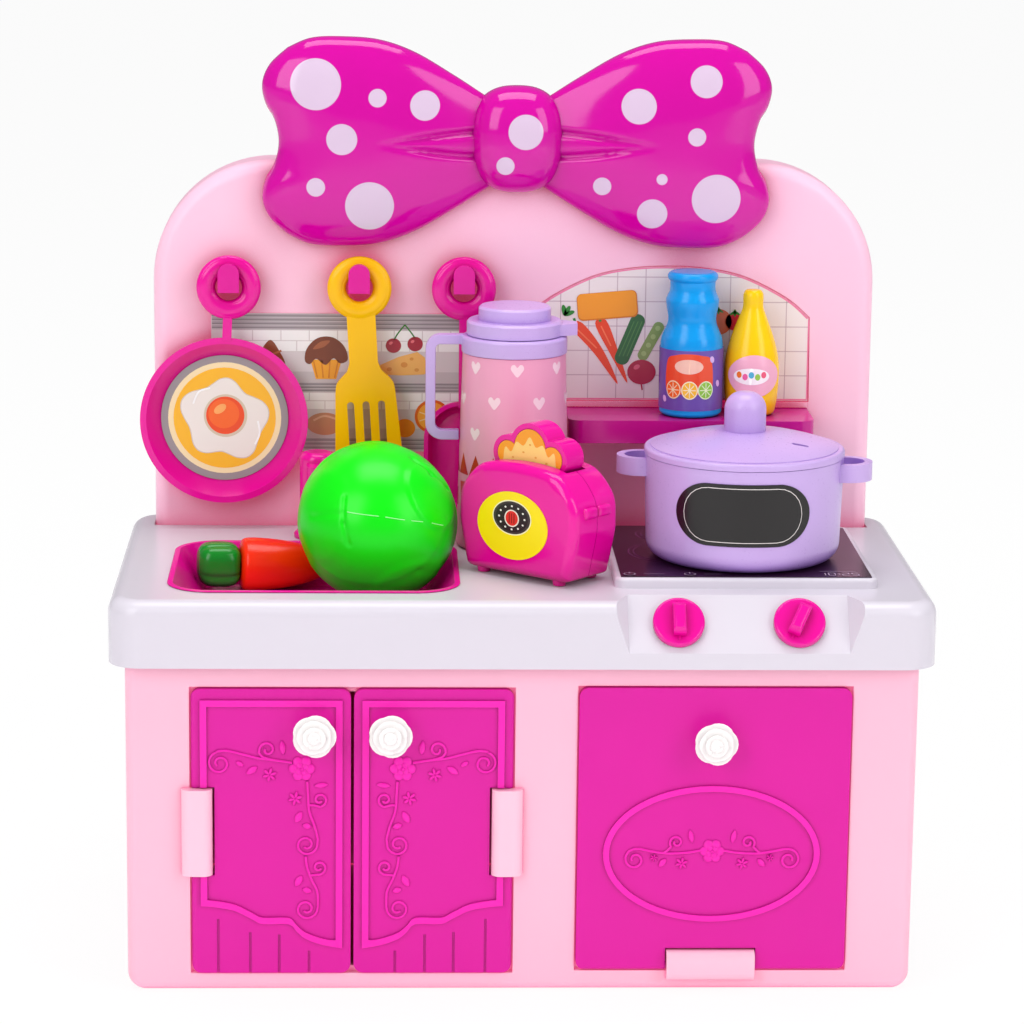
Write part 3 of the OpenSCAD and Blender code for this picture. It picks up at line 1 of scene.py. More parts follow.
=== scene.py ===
# %% [markdown]
# # A play kitchen, finished in Blender
# The kitchen is a small toy for a table: a pink cabinet with magenta doors, a white worktop, a back panel
# with a bow, and a set of play pieces. Its solids come from a CAD model. This lesson gives them their
# finishes, and models again the pieces whose charm is in soft forms: the bow, the rose knobs, the cabbage,
# the toaster and the carved doors.

import json
import math

import bmesh
import bpy
from mathutils import Matrix, Vector


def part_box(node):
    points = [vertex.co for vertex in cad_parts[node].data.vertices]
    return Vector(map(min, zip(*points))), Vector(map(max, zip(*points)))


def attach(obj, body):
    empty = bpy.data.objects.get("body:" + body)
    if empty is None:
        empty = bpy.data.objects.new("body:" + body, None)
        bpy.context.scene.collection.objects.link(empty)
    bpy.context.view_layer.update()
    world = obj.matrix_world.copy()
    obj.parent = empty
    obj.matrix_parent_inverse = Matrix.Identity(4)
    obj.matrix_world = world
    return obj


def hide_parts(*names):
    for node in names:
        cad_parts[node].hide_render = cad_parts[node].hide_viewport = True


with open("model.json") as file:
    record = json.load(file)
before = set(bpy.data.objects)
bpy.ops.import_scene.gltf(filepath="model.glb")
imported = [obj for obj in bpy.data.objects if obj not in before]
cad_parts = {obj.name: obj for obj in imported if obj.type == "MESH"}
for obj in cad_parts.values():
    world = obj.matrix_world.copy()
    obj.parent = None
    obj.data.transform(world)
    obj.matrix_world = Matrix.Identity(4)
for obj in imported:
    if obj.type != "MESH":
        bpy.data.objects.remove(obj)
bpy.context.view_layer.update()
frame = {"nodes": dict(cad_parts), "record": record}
MM = 0.001

# %% [markdown]
# ## The camera
# The photograph was taken from a little above, almost straight in front, with a long lens. The numbers come
# from fitting the worktop's and the panel's corners. A long lens keeps the upright edges nearly parallel.

# %% Camera
FOCAL_MM = 125.54
SENSOR_MM = 36.0
YAW, PITCH, ROLL = 0.039, 0.210, 0.012
CAMERA_AT = Vector((-48.373, -1189.381, 401.956)) * MM
VIEW_END_M = 50

forward = Vector((math.sin(YAW) * math.cos(PITCH), math.cos(YAW) * math.cos(PITCH), -math.sin(PITCH)))
level = Vector((math.cos(YAW), -math.sin(YAW), 0))
upward = level.cross(forward)
right = math.cos(ROLL) * level + math.sin(ROLL) * upward
upward = -math.sin(ROLL) * level + math.cos(ROLL) * upward

camera_data = bpy.data.cameras.new("camera")
camera_data.lens = FOCAL_MM
camera_data.sensor_width = SENSOR_MM
camera_data.sensor_fit = "HORIZONTAL"
camera_data.clip_end = VIEW_END_M
camera = bpy.data.objects.new("camera", camera_data)
bpy.context.scene.collection.objects.link(camera)
camera.matrix_world = Matrix.Translation(CAMERA_AT) @ Matrix((right, upward, -forward)).transposed().to_4x4()
bpy.context.scene.camera = camera
print("camera at", [round(c, 3) for c in CAMERA_AT])

# %% [markdown]
# ## Colours and nodes
# Colours are written as they would be picked from a picture, in sRGB hex. Blender calculates in linear light,
# so one function converts them. A second small function adds any node with its settings, values and links,
# which keeps the materials below short enough to read.

# %% Helpers for materials
def linear(hex_colour):
    """An sRGB hex colour in linear light, by the sRGB standard's own curve."""
    parts = [int(hex_colour[i : i + 2], 16) / 255 for i in (1, 3, 5)]
    return (*[p / 12.92 if p <= 0.04045 else ((p + 0.055) / 1.055) ** 2.4 for p in parts], 1.0)


def shade(hex_colour, factor):
    """The same colour with a little less or more light in it."""
    return (*[min(1.0, c * factor) for c in linear(hex_colour)[:3]], 1.0)


def add(tree, kind, settings=None, values=None, links=None):
    """A new node, with its settings, the values of its inputs and what is linked to them."""
    made = tree.nodes.new(kind)
    for key, value in (settings or {}).items():
        setattr(made, key, value)
    for key, value in (values or {}).items():
        made.inputs[key].default_value = value
    for key, source in (links or {}).items():
        tree.links.new(source, made.inputs[key])
    return made


def new_material(name):
    material = bpy.data.materials.new(name)
    material.use_nodes = True
    material.node_tree.nodes.clear()
    return material, material.node_tree


def close_material(material, shader):
    add(material.node_tree, "ShaderNodeOutputMaterial", links={"Surface": shader.outputs[0]})
    return material


# %% [markdown]
# ## Moulded plastic
# Nearly everything here is injection-moulded: the plastic takes the polish or the fine spark texture of its
# steel mould. Three things make it look real: a colour that drifts very slightly, a roughness that is a
# little uneven, and a surface that waves gently, as plastic does when it shrinks in cooling. Corners and
# crevices get a painted shade, deeper than grey, as pink plastic shows there because it passes some light on
# inside itself: `deep` is that colour, and it takes over where little of the room is open to the surface.
# Hollows behind thin pink walls get a painted glow for the light those walls let through: `through` is how
# strong it is there.

# %% Plastic
# Polypropylene bends light by 1.49, and polyethylene nearly as much.
PLASTIC_IOR = 1.49
SKY_SAMPLES = 4
# Of the room, this share is open where the painted shade covers all, and where it ends.
PAINTED_SHADE_SHUT, PAINTED_SHADE_OPEN = 0.2, 0.85
# The same for the painted glow in the hollows, looking this far.
PAINTED_GLOW_SHUT, PAINTED_GLOW_OPEN, PAINTED_GLOW_REACH_MM = 0.02, 0.45, 40
MICRON = 1e-6


def open_share(tree, reach_mm):
    """How much of the room is open to each place, from 0 to 1, looking as far as `reach_mm`."""
    return add(tree, "ShaderNodeAmbientOcclusion", settings={"samples": SKY_SAMPLES},
        values={"Distance": reach_mm * MM}).outputs["AO"]


def plastic_shader(tree, colour, rough, grain_mm=0.7, grain_um=2, sink_mm=26, sink_um=40, drift=0.03,
    uneven=0.015, deep=None, reach_mm=35, gleam=0.5, through=0.0):
    """A moulded plastic: grain and sink marks by their width and height, painted shade in corners, painted
    glow.
    """
    coords = add(tree, "ShaderNodeTexCoord")
    cloud = add(tree, "ShaderNodeTexNoise", links={"Vector": coords.outputs["Object"]},
        values={"Scale": 1 / (sink_mm * MM), "Detail": 2.0, "Roughness": 0.45})
    grain = add(tree, "ShaderNodeTexNoise", links={"Vector": coords.outputs["Object"]},
        values={"Scale": 1 / (grain_mm * MM), "Detail": 1.0, "Roughness": 0.5})
    if isinstance(colour, str):
        tone = add(tree, "ShaderNodeMix", settings={"data_type": "RGBA"},
            values={"A": shade(colour, 1 - drift), "B": shade(colour, 1 + drift)},
            links={"Factor": cloud.outputs["Fac"]})
    else:
        light = add(tree, "ShaderNodeMapRange", values={"To Min": 1 - drift, "To Max": 1 + drift},
            links={"Value": cloud.outputs["Fac"]})
        tone = add(tree, "ShaderNodeMix", settings={"data_type": "RGBA", "blend_type": "MULTIPLY"},
            values={"Factor": 1.0}, links={"A": colour, "B": light.outputs["Result"]})
    # Painted shade: the colour turns to `deep` where little of the room is open.
    if deep:
        lit = add(tree, "ShaderNodeMapRange", values={"From Min": PAINTED_SHADE_SHUT, "From Max": PAINTED_SHADE_OPEN},
            links={"Value": open_share(tree, reach_mm)})
        tone = add(tree, "ShaderNodeMix", settings={"data_type": "RGBA"}, values={"A": linear(deep)},
            links={"Factor": lit.outputs["Result"], "B": tone.outputs[2]})
    gloss = add(tree, "ShaderNodeMapRange", values={"To Min": rough - uneven, "To Max": rough + uneven},
        links={"Value": grain.outputs["Fac"]})
    waves = add(tree, "ShaderNodeBump", values={"Strength": 1.0, "Distance": sink_um * MICRON},
        links={"Height": cloud.outputs["Fac"]})
    fine = add(tree, "ShaderNodeBump", values={"Strength": 1.0, "Distance": grain_um * MICRON},
        links={"Height": grain.outputs["Fac"], "Normal": waves.outputs["Normal"]})
    shader = add(tree, "ShaderNodeBsdfPrincipled", values={"IOR": PLASTIC_IOR, "Specular IOR Level": gleam},
        links={"Base Color": tone.outputs[2], "Roughness": gloss.outputs["Result"],
            "Normal": fine.outputs["Normal"]})
    # Painted glow: the hollows give off the `deep` colour, up to `through` where they are most shut in.
    if through:
        painted_glow = add(tree, "ShaderNodeMapRange", links={"Value": open_share(tree, PAINTED_GLOW_REACH_MM)},
            values={"From Min": PAINTED_GLOW_SHUT, "From Max": PAINTED_GLOW_OPEN, "To Min": through, "To Max": 0.0})
        shader.inputs["Emission Color"].default_value = linear(deep)
        tree.links.new(painted_glow.outputs["Result"], shader.inputs["Emission Strength"])
    return shader


def plastic(name, colour, rough, **options):
    material, tree = new_material(name)
    return close_material(material, plastic_shader(tree, colour, rough, **options))


# %% [markdown]
# ### The plastics of this kitchen
# Housings of such toys are polystyrene, which is stiff and takes a fine polish. Pots and utensils are
# polypropylene, softer and more waxy, and the blown bottles and vegetables are polyethylene.

# %% Plastics of this kitchen
# Satin pink housing: wide soft highlights, a painted warmer pink shade in the seams, and a painted glow
# in the hollows behind its walls.
pink_styrene = plastic("pink_styrene_satin", "#FCBDD3", 0.36, sink_mm=40, drift=0.015, deep="#F0609A",
    reach_mm=1.2, gleam=0.4, through=0.3)
# The panel's pink, with a painted crimson shade where it is shut in, as under the shelf, for the shadows
# that the magenta pieces before it colour crimson, and a painted glow in its hollows.
panel_styrene = plastic("pink_styrene_panel", "#FFC8E0", 0.34, sink_mm=40, drift=0.015, deep="#DA1466",
    reach_mm=15, gleam=0.4, through=0.3)
# Cool white worktop, smoother than the pink, so its edges draw a clear light line.
white_styrene = plastic("white_styrene_semigloss", "#D9D3DE", 0.26, grain_um=1, sink_mm=45, drift=0.012,
    uneven=0.01)
# Shelf magenta, painted darker than the other magentas for the shade the shelf sits in, with a painted
# plum shade in its corners.
shelf_magenta_painted_shade = plastic("magenta_styrene_shelf_painted_shade", "#C8088C", 0.2, deep="#8C0060", reach_mm=10, gleam=0.45)
# Polished magenta of pan, spoon, sink, tap and toaster: small sharp lights on a full colour, and a painted
# darker shade in its hollows.
gloss_magenta = plastic("magenta_styrene_polished", "#EA069A", 0.14, sink_mm=18, sink_um=60, deep="#B8006C",
    reach_mm=12, gleam=0.45)
bow_magenta = "#D2029E"
# Waxy magenta pegs, a little duller than the utensils on them.
peg_magenta = plastic("magenta_polypropylene_pegs", "#DE0896", 0.22, gleam=0.4)
# Pale pink bars, which stand out softly against the magenta doors, with a painted deeper pink shade in
# their corners.
cap_pink = plastic("pale_pink_styrene_caps", "#FCC6DA", 0.24, deep="#F284B0", reach_mm=4)
# Warm white roses, whose petals show by their shadows alone.
rose_white = plastic("white_styrene_roses", "#F6F3F2", 0.24, drift=0.015)
# Lavender pot and lids, with a painted violet shade under the rims.
lavender = plastic("lavender_polypropylene", "#C8AAE4", 0.28, sink_mm=20, deep="#A074D2", reach_mm=14)
# Pink jug wall, matt enough to keep its print readable, with a painted deeper pink shade in its hollows.
jug_pink = plastic("pink_polypropylene", "#F0A0C2", 0.3, deep="#D8608E", reach_mm=10)
# Egg-yolk orange spatula, with a painted amber shade in its slots.
spatula_orange = plastic("orange_polypropylene", "#FFC000", 0.24, deep="#F8A000", reach_mm=5, gleam=0.35)
# Bottles in clear flat colours, with the low gleam of blown plastic; the yellow one has a painted darker
# shade in its hollows.
bottle_blue = plastic("blue_polyethylene", "#009CEA", 0.22, gleam=0.4)
bottle_yellow = plastic("yellow_polyethylene", "#FFCE00", 0.22, deep="#F2A000", reach_mm=10, gleam=0.4)
# Bright green cabbage, with a painted darker leaf-green shade in its creases.
cabbage_green = plastic("green_polyethylene_blown", "#00EC08", 0.3, sink_mm=14, sink_um=50, deep="#02A80C",
    reach_mm=5, gleam=0.35)
# Orange-red carrot and its dark green cap, with a painted darker green shade in the cap's creases.
carrot_orange = plastic("orange_red_polyethylene", "#FF2E02", 0.24, sink_mm=12, gleam=0.4)
carrot_green = plastic("dark_green_polyethylene", "#058A20", 0.24, sink_mm=12, deep="#045C12", reach_mm=5)
print("plastics:", len(bpy.data.materials))

# %% [markdown]
# ### The doors' plastic
# The doors came from a spark-eroded mould, so they have a fine matt grain. Their raised lines stand 0.8 mm
# proud and get a painted highlight, a lighter magenta, which draws them out against the field. The material
# knows them by their place in front of the door's face, so no line has to be drawn. A painted plum shade
# lies at the foot of the lines and in the seams, and a painted glow in the gaps behind the doors.

# %% Door plastic
DOOR_FACE = -66.0
# Where the painted highlight on the raised lines begins, and where it is full, in front of the face.
PAINTED_HIGHLIGHT_FROM, PAINTED_HIGHLIGHT_FULL = 0.15, 0.6
door_styrene, tree = new_material("magenta_styrene_spark_grain")
coords = add(tree, "ShaderNodeTexCoord")
depth = add(tree, "ShaderNodeSeparateXYZ", links={"Vector": coords.outputs["Object"]})
proud = add(tree, "ShaderNodeMapRange", links={"Value": depth.outputs["Y"]},
    values={"From Min": (DOOR_FACE - PAINTED_HIGHLIGHT_FROM) * MM, "From Max": (DOOR_FACE - PAINTED_HIGHLIGHT_FULL) * MM})
# Painted highlight: the raised lines get a lighter magenta than the field.
painted_highlight = add(tree, "ShaderNodeMix", settings={"data_type": "RGBA"}, values={"A": linear("#DA0A9E"),
    "B": linear("#F41AB4")}, links={"Factor": proud.outputs["Result"]})
# Painted plum shade at the foot of the lines and in the seams, and a painted glow in the gaps.
close_material(door_styrene, plastic_shader(tree, painted_highlight.outputs[2], 0.38, grain_mm=0.9, grain_um=12,
    sink_mm=30, deep="#98006C", reach_mm=1.8, gleam=0.35, through=0.25))

# %% [markdown]
# ## Zinc-plated screws
# The small screws in the back are steel with a bright zinc coat, turned on a lathe and rolled. The plating is
# a slightly rough metal with a faint blue-grey cloud.

# %% Screw steel
ZINC_CLOUD_MM = 1.2
zinc_steel, tree = new_material("zinc_plated_steel")
coords = add(tree, "ShaderNodeTexCoord")
plating = add(tree, "ShaderNodeTexNoise", values={"Scale": 1 / (ZINC_CLOUD_MM * MM), "Detail": 3.0},
    links={"Vector": coords.outputs["Object"]})
zinc = add(tree, "ShaderNodeMix", settings={"data_type": "RGBA"},
    values={"A": linear("#A8ACB4"), "B": linear("#D6D8DC")}, links={"Factor": plating.outputs["Fac"]})
zinc_rough = add(tree, "ShaderNodeMapRange", values={"To Min": 0.28, "To Max": 0.5},
    links={"Value": plating.outputs["Fac"]})
close_material(zinc_steel, add(tree, "ShaderNodeBsdfPrincipled", values={"Metallic": 1.0},
    links={"Base Color": zinc.outputs[2], "Roughness": zinc_rough.outputs["Result"]}))
screws = frame["nodes"]["rear_screws"].data
screws.materials.clear()
screws.materials.append(zinc_steel)
print("screws finished in", zinc_steel.name)

# %% [markdown]
# ## From a CAD solid to a moulding
# A CAD solid has knife-sharp edges. Real mouldings don't: every edge has a small radius, and that is what
# catches the light. This helper takes a copy of a solid, merges its triangles into faces, bevels the sharp
# edges and shades the rest smooth. Weighted normals keep the large flat faces flat.

# %% Helpers for pieces
SHARP = math.radians(28)
FLAT = math.radians(0.6)
FLAT_WEIGHT = 80
BODY_OF = {node: body for body, nodes in frame["record"]["behaviour"]["bodies"].items() for node in nodes}


def show(name, mesh):
    """An object for the mesh, at the origin."""
    piece = bpy.data.objects.new(name, mesh)
    bpy.context.scene.collection.objects.link(piece)
    return piece


def finish_piece(name, bm, material, body, nodes=(), smooth=38, weighted=True):
    """A finished piece that moves with its body, and takes the place of the nodes named."""
    mesh = bpy.data.meshes.new(name)
    for edge in bm.edges:
        edge.smooth = not (edge.is_manifold and edge.calc_face_angle(0) > math.radians(smooth))
    for face in bm.faces:
        face.smooth = True
    bm.to_mesh(mesh)
    bm.free()
    piece = show(name, mesh)
    if material is not None:
        mesh.materials.append(material)
    if weighted:
        modifier = piece.modifiers.new("flat faces stay flat", "WEIGHTED_NORMAL")
        modifier.keep_sharp = True
        modifier.weight = FLAT_WEIGHT
    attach(piece, body)
    if nodes:
        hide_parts(*nodes)
    return piece


def solid_copy(node):
    """The solid's mesh with its triangles merged into flat faces."""
    bm = bmesh.new()
    bm.from_mesh(frame["nodes"][node].data)
    bmesh.ops.remove_doubles(bm, verts=bm.verts, dist=MICRON)
    bmesh.ops.dissolve_limit(bm, angle_limit=FLAT, verts=bm.verts, edges=bm.edges,
        use_dissolve_boundaries=False, delimit=set())
    return bm


def round_edges(bm, radius, segments=2, chosen=lambda edge: True):
    """A small radius on every sharp edge that is chosen."""
    edges = [e for e in bm.edges if e.is_manifold and e.calc_face_angle(0) > SHARP and chosen(e)]
    bmesh.ops.bevel(bm, geom=edges, offset=radius * MM, offset_type="OFFSET", segments=segments, profile=0.5,
        affect="EDGES", clamp_overlap=True, material=-1)
    return len(edges)


def carve(bm, tool, operation="DIFFERENCE"):
    """Cuts one shape with another by an exact boolean, and gives the result back."""
    holders = []
    for part in (bm, tool):
        mesh = bpy.data.meshes.new("carving")
        part.to_mesh(mesh)
        part.free()
        holders.append(show("carving", mesh))
    cut = holders[0].modifiers.new("cut", "BOOLEAN")
    cut.object = holders[1]
    cut.operation = operation
    cut.solver = "EXACT"
    bpy.context.view_layer.update()
    carved = holders[0].evaluated_get(bpy.context.evaluated_depsgraph_get())
    result = bmesh.new()
    result.from_mesh(bpy.data.meshes.new_from_object(carved))
    for holder in holders:
        bpy.data.objects.remove(holder)
    return result


def mould(node, material, radius, segments=2):
    """A CAD solid as it is, with rounded edges and its plastic."""
    bm = solid_copy(node)
    count = round_edges(bm, radius, segments)
    piece = finish_piece(node + "_moulded", bm, material, BODY_OF[node], [node])
    print(f"{node}: {count} edges rounded to {radius} mm, {len(piece.data.polygons)} faces")


# %% [markdown]
# ## The cabinet, worktop and panel
# These are large thin-walled mouldings. Their CAD shapes are right, so they only need edge radii and their
# plastics. The hidden pieces inside and at the back are finished in the same pass.

# %% Shells
# Radii above 1 mm take more steps, so that they stay round.
for node, material, radius in [
    ("cabinet_body", pink_styrene, 0.35),
    ("cabinet_back", pink_styrene, 0.3),
    ("divider_wall", pink_styrene, 0.2),
    ("worktop", white_styrene, 0.4),
    ("sink_basin", gloss_magenta, 0.25),
    ("tap_collar", gloss_magenta, 0.2),
    ("tap", gloss_magenta, 0.5),
    ("back_panel", panel_styrene, 0.3),
    ("panel_cover", panel_styrene, 0.3),
    ("shelf", shelf_magenta_painted_shade, 0.5),
    ("utensil_hook_left", peg_magenta, 1.1),
    ("utensil_hook_middle", peg_magenta, 1.1),
    ("utensil_hook_right", peg_magenta, 1.1),
    ("hinge_cap_left", cap_pink, 1.5),
    ("hinge_cap_right", cap_pink, 1.5),
    ("hinge_cap_oven", cap_pink, 1.5),
    ("hob_knob_left", gloss_magenta, 0.3),
    ("hob_knob_right", gloss_magenta, 0.3),
]:
    mould(node, material, radius, segments=4 if radius > 1 else 2)

# %% [markdown]
# ## The doors
# Each door is a flat moulding with all four corners rounded in its front view. The CAD door is square at the
# hinge, so the real corner is cut here with a block that has round corners, and the edges are softened after.

# %% Doors
DOOR_CORNER, DOOR_ROLL, DOOR_EDGE = 3.2, 1.1, 0.3
CORNER_STEPS = 10
ON_FACE = 0.02 * MM


def corner_block(low, high):
    """A block with four round upright corners in the front view, deeper than the door on both sides."""
    middle, size = (low + high) / 2, high - low
    block = bmesh.new()
    outline = bmesh.ops.create_grid(block, x_segments=1, y_segments=1, size=0.5,
        matrix=Matrix.Diagonal((size.x, size.z, 1, 1)))["verts"]
    bmesh.ops.bevel(block, geom=outline, offset=DOOR_CORNER * MM, offset_type="OFFSET",
        segments=CORNER_STEPS, profile=0.5, affect="VERTICES", material=-1)
    pushed = bmesh.ops.extrude_face_region(block, geom=block.faces[:])["geom"]
    bmesh.ops.translate(block, vec=(0, 0, 2 * size.y),
        verts=[v for v in pushed if isinstance(v, bmesh.types.BMVert)])
    stood = Matrix.Rotation(math.radians(90), 4, "X")
    bmesh.ops.transform(block, verts=block.verts,
        matrix=Matrix.Translation((middle.x, middle.y + size.y, middle.z)) @ stood)
    bmesh.ops.recalc_face_normals(block, faces=block.faces)
    return block


def at_rim(place, low, high):
    """Whether a point lies on the door's face, close to its outer edge."""
    inwards = min(abs(place.x - low.x), abs(place.x - high.x), abs(place.z - low.z), abs(place.z - high.z))
    return abs(place.y - DOOR_FACE * MM) < ON_FACE and inwards < DOOR_CORNER * MM / 3


for node in ("cupboard_door_left", "cupboard_door_right", "oven_door"):
    low, high = (Vector(corner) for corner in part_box(node))
    bm = carve(solid_copy(node), corner_block(low, high), "INTERSECT")
    bmesh.ops.remove_doubles(bm, verts=bm.verts, dist=2 * MICRON)
    count = round_edges(bm, DOOR_ROLL, 4,
        chosen=lambda edge: all(at_rim(vert.co, low, high) for vert in edge.verts))
    count += round_edges(bm, DOOR_EDGE, 2)
    finish_piece(node + "_moulded", bm, door_styrene, BODY_OF[node], [node])
    print(f"{node}: {count} edges rounded, corners cut to {DOOR_CORNER} mm")

# %% [markdown]
# ## Utensils and pots
# The hanging pan, spatula and spoon, the pot, the jug and the bottles are small glossy mouldings with
# generous radii. Their solids have the right form, so rounded edges and their plastics are enough.

# %% Play pieces from solids
for node, material, radius in [
    ("frying_pan", gloss_magenta, 0.5),
    ("spatula", spatula_orange, 0.9),
    ("serving_spoon", gloss_magenta, 0.8),
    ("pot_body", lavender, 0.5),
    ("pot_lid", lavender, 0.4),
    ("jug_body", jug_pink, 0.4),
    ("jug_collar", lavender, 0.6),
    ("jug_lid", lavender, 0.6),
    ("toast_slice", gloss_magenta, 0.6),
    ("blue_bottle", bottle_blue, 0.4),
    ("yellow_bottle", bottle_yellow, 0.4),
    ("carrot_body", carrot_orange, 0.4),
]:
    mould(node, material, radius)

# %% [markdown]
# ### The hanging rings
# Pan, spatula and spoon hang on rings of a round rod. The solid's ring is flat, so a flattened torus is laid
# over it round each hook's eye: a circle turned once about the eye's middle.

# %% Rolled rings
RING_MIDDLE_R, RING_ROD_R, RING_REACH = 7.9, 3.2, 11.2
RING_FLATNESS = 0.594
RING_Y = 41
for node, hook, material in [
    ("frying_pan", "utensil_hook_left", gloss_magenta),
    ("spatula", "utensil_hook_middle", spatula_orange),
    ("serving_spoon", "utensil_hook_right", gloss_magenta),
]:
    hook_low, hook_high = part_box(hook)
    eye = Vector(((hook_low[0] + hook_high[0]) / 2, RING_Y * MM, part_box(node)[1][2] - RING_REACH * MM))
    quarter = Matrix.Rotation(math.radians(90), 4, "X")
    bm = bmesh.new()
    bmesh.ops.create_circle(bm, segments=28, radius=RING_ROD_R,
        matrix=Matrix.Translation((RING_MIDDLE_R, 0, 0)) @ quarter)
    bmesh.ops.spin(bm, geom=bm.verts[:] + bm.edges[:], cent=(0, 0, 0), axis=(0, 0, 1), angle=2 * math.pi,
        steps=72, use_merge=True)
    bmesh.ops.recalc_face_normals(bm, faces=bm.faces)
    bmesh.ops.transform(bm, verts=bm.verts,
        matrix=Matrix.Translation(eye) @ quarter @ Matrix.Diagonal((MM, MM, RING_FLATNESS * MM, 1)))
    finish_piece(node + "_ring", bm, material, BODY_OF[node], smooth=80, weighted=False)
    print(f"{node}: ring of a {2 * RING_ROD_R} mm rod")

# %% [markdown]
# ## The bow
# The bow is one hollow moulding: two swelling lobes that run out to a thin rolled edge, and a round knot in
# front. Each lobe is a grid bent between four edge curves, and each point is then raised by how far it lies
# from the edge. Two shallow pleats run out from the knot and meet, as cloth would gather there.

# %% Curves through points
def between(a, b, c, d, t):
    """A point from b to c on the smooth curve that also passes a and d."""
    return 0.5 * (2 * b + (c - a) * t + (2 * a - 5 * b + 4 * c - d) * t * t + (3 * b - a - 3 * c + d) * t**3)


def along(points, s):
    """The point at s, from 0 to 1, on a smooth curve through the points."""
    last = len(points) - 1
    place = min(max(s, 0.0), 1.0) * last
    i = min(int(place), last - 1)
    p = [Vector(points[min(max(k, 0), last)]) for k in (i - 1, i, i + 1, i + 2)]
    return between(*p, place - i)


def smoothstep(low, high, x):
    """From 0 at low to 1 at high, with a soft start and end."""
    t = min(max((x - low) / (high - low), 0.0), 1.0)
    return t * t * (3 - 2 * t)


# %% [markdown]
# ### Lobes and knot
# The mouth of a lobe is hidden by the knot. From there its top edge and its notched end are smooth curves
# through a few points, and its low edge mirrors the top one. The knot is a ball pushed a little towards a
# box.

# %% Lobes and knot
BOW_Z = 269.2
BOW_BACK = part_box("back_panel")[0][1] / MM - 0.05
BOW_RIM = 1.6
MOUTH_X, MOUTH_HALF = 7, 13.5
LOBE_TOP = [(MOUTH_X, MOUTH_HALF), (12, 16.8), (22, 23.2), (35.5, 31), (48, 35.2), (61.5, 36.15),
    (71.5, 35.5), (79.3, 32.2)]
LOBE_END = [(79.3, -32.2), (85.3, -26.6), (88, -20.3), (87, -13.8), (84, -8.2), (82.4, 0), (84, 8.2),
    (87, 13.8), (88, 20.3), (85.3, 26.6), (79.3, 32.2)]
LOBE_CROWN, MOUTH_CROWN = 11.6, 0.34
SIDE_FULLNESS, END_FULLNESS, EDGE_ROUNDNESS = 2.3, 2.8, 0.46
PLEAT_APART, PLEAT_MEET_X, PLEAT_DEEP, PLEAT_WIDE = 4.2, 56, 1.5, 0.6
KNOT_HALF = (16.2, 12.8, 18.5)
KNOT_UP, KNOT_BOXINESS, KNOT_FOLD = 1.4, 2.5, 0.02
KNOT_BACK_GAP = 0.2


def lobe_point(u, s):
    """The place at u outwards and s upwards, both from 0 to 1, between the lobe's four edges."""
    top = along(LOBE_TOP, u)
    low = Vector((top.x, -top.y))
    end = along(LOBE_END, s)
    start = Vector((MOUTH_X, MOUTH_HALF * (2 * s - 1)))
    c00, c01 = Vector((MOUTH_X, -MOUTH_HALF)), Vector((MOUTH_X, MOUTH_HALF))
    c10, c11 = Vector(LOBE_END[0]), Vector(LOBE_END[-1])
    return ((1 - s) * low + s * top + (1 - u) * start + u * end
        - (1 - u) * (1 - s) * c00 - (1 - u) * s * c01 - u * (1 - s) * c10 - u * s * c11)


def lobe_height(u, s, x, z):
    """How far the lobe swells out at a place: a pillow with steep round edges and two pleats."""
    across = abs(2 * s - 1)
    dome = (1 - across**SIDE_FULLNESS) ** EDGE_ROUNDNESS if across < 1 else 0
    out = max((u - 0.5) / 0.5, 0)
    dome *= (1 - out**END_FULLNESS) ** EDGE_ROUNDNESS if out < 1 else 0
    height = LOBE_CROWN * dome * (MOUTH_CROWN + (1 - MOUTH_CROWN) * smoothstep(0.02, 0.55, u))
    fade = 1 - smoothstep(26, 50, x)
    for side in (-1, 1):
        middle = side * PLEAT_APART * (1 - smoothstep(10, PLEAT_MEET_X, x))
        height -= PLEAT_DEEP * fade * math.exp(-(((z - middle) / (PLEAT_WIDE * (1 + fade))) ** 2))
    return max(height, 0)


def bow_lobe(side):
    bm = bmesh.new()
    bmesh.ops.create_grid(bm, x_segments=150, y_segments=130, size=1)
    for vert in bm.verts:
        # Both runs are stretched so that more rows lie at the round edges.
        u = 1 - (0.5 - 0.5 * vert.co.x) ** 1.25
        s = 0.5 + 0.25 * (vert.co.y + math.sin(vert.co.y * math.pi / 2))
        flat = lobe_point(u, s)
        height = lobe_height(u, s, flat.x, flat.y)
        vert.co = Vector((side * flat.x, BOW_BACK - BOW_RIM - height, BOW_Z + flat.y)) * MM
    rim = bmesh.ops.extrude_edge_only(bm, edges=[e for e in bm.edges if e.is_boundary])
    for vert in rim["geom"]:
        if isinstance(vert, bmesh.types.BMVert):
            vert.co.y = BOW_BACK * MM
    bmesh.ops.edgeloop_fill(bm, edges=[e for e in bm.edges if e.is_boundary])
    bmesh.ops.recalc_face_normals(bm, faces=bm.faces)
    return bm


def bow_knot():
    bm = bmesh.new()
    bmesh.ops.create_uvsphere(bm, u_segments=64, v_segments=40, radius=1)
    for vert in bm.verts:
        x, y, z = vert.co
        reach = sum(abs(c) ** KNOT_BOXINESS for c in (x, y, z)) ** (-1 / KNOT_BOXINESS)
        fold = 1 + KNOT_FOLD * math.cos(5 * math.atan2(x, z + 2.4))
        vert.co = Vector((KNOT_HALF[0] * x * reach * fold, BOW_BACK - 1 + KNOT_HALF[1] * y * reach,
            BOW_Z + KNOT_UP + KNOT_HALF[2] * z * reach))
        vert.co.y = min(vert.co.y, BOW_BACK - KNOT_BACK_GAP)
        vert.co *= MM
    return bm


# %% [markdown]
# ### Printed dots
# Pale lavender dots are tampo-printed on the magenta. Each is a circle in the front view, so the material
# measures the distance from each dot's middle in X and Z alone, and prints only what faces the front.

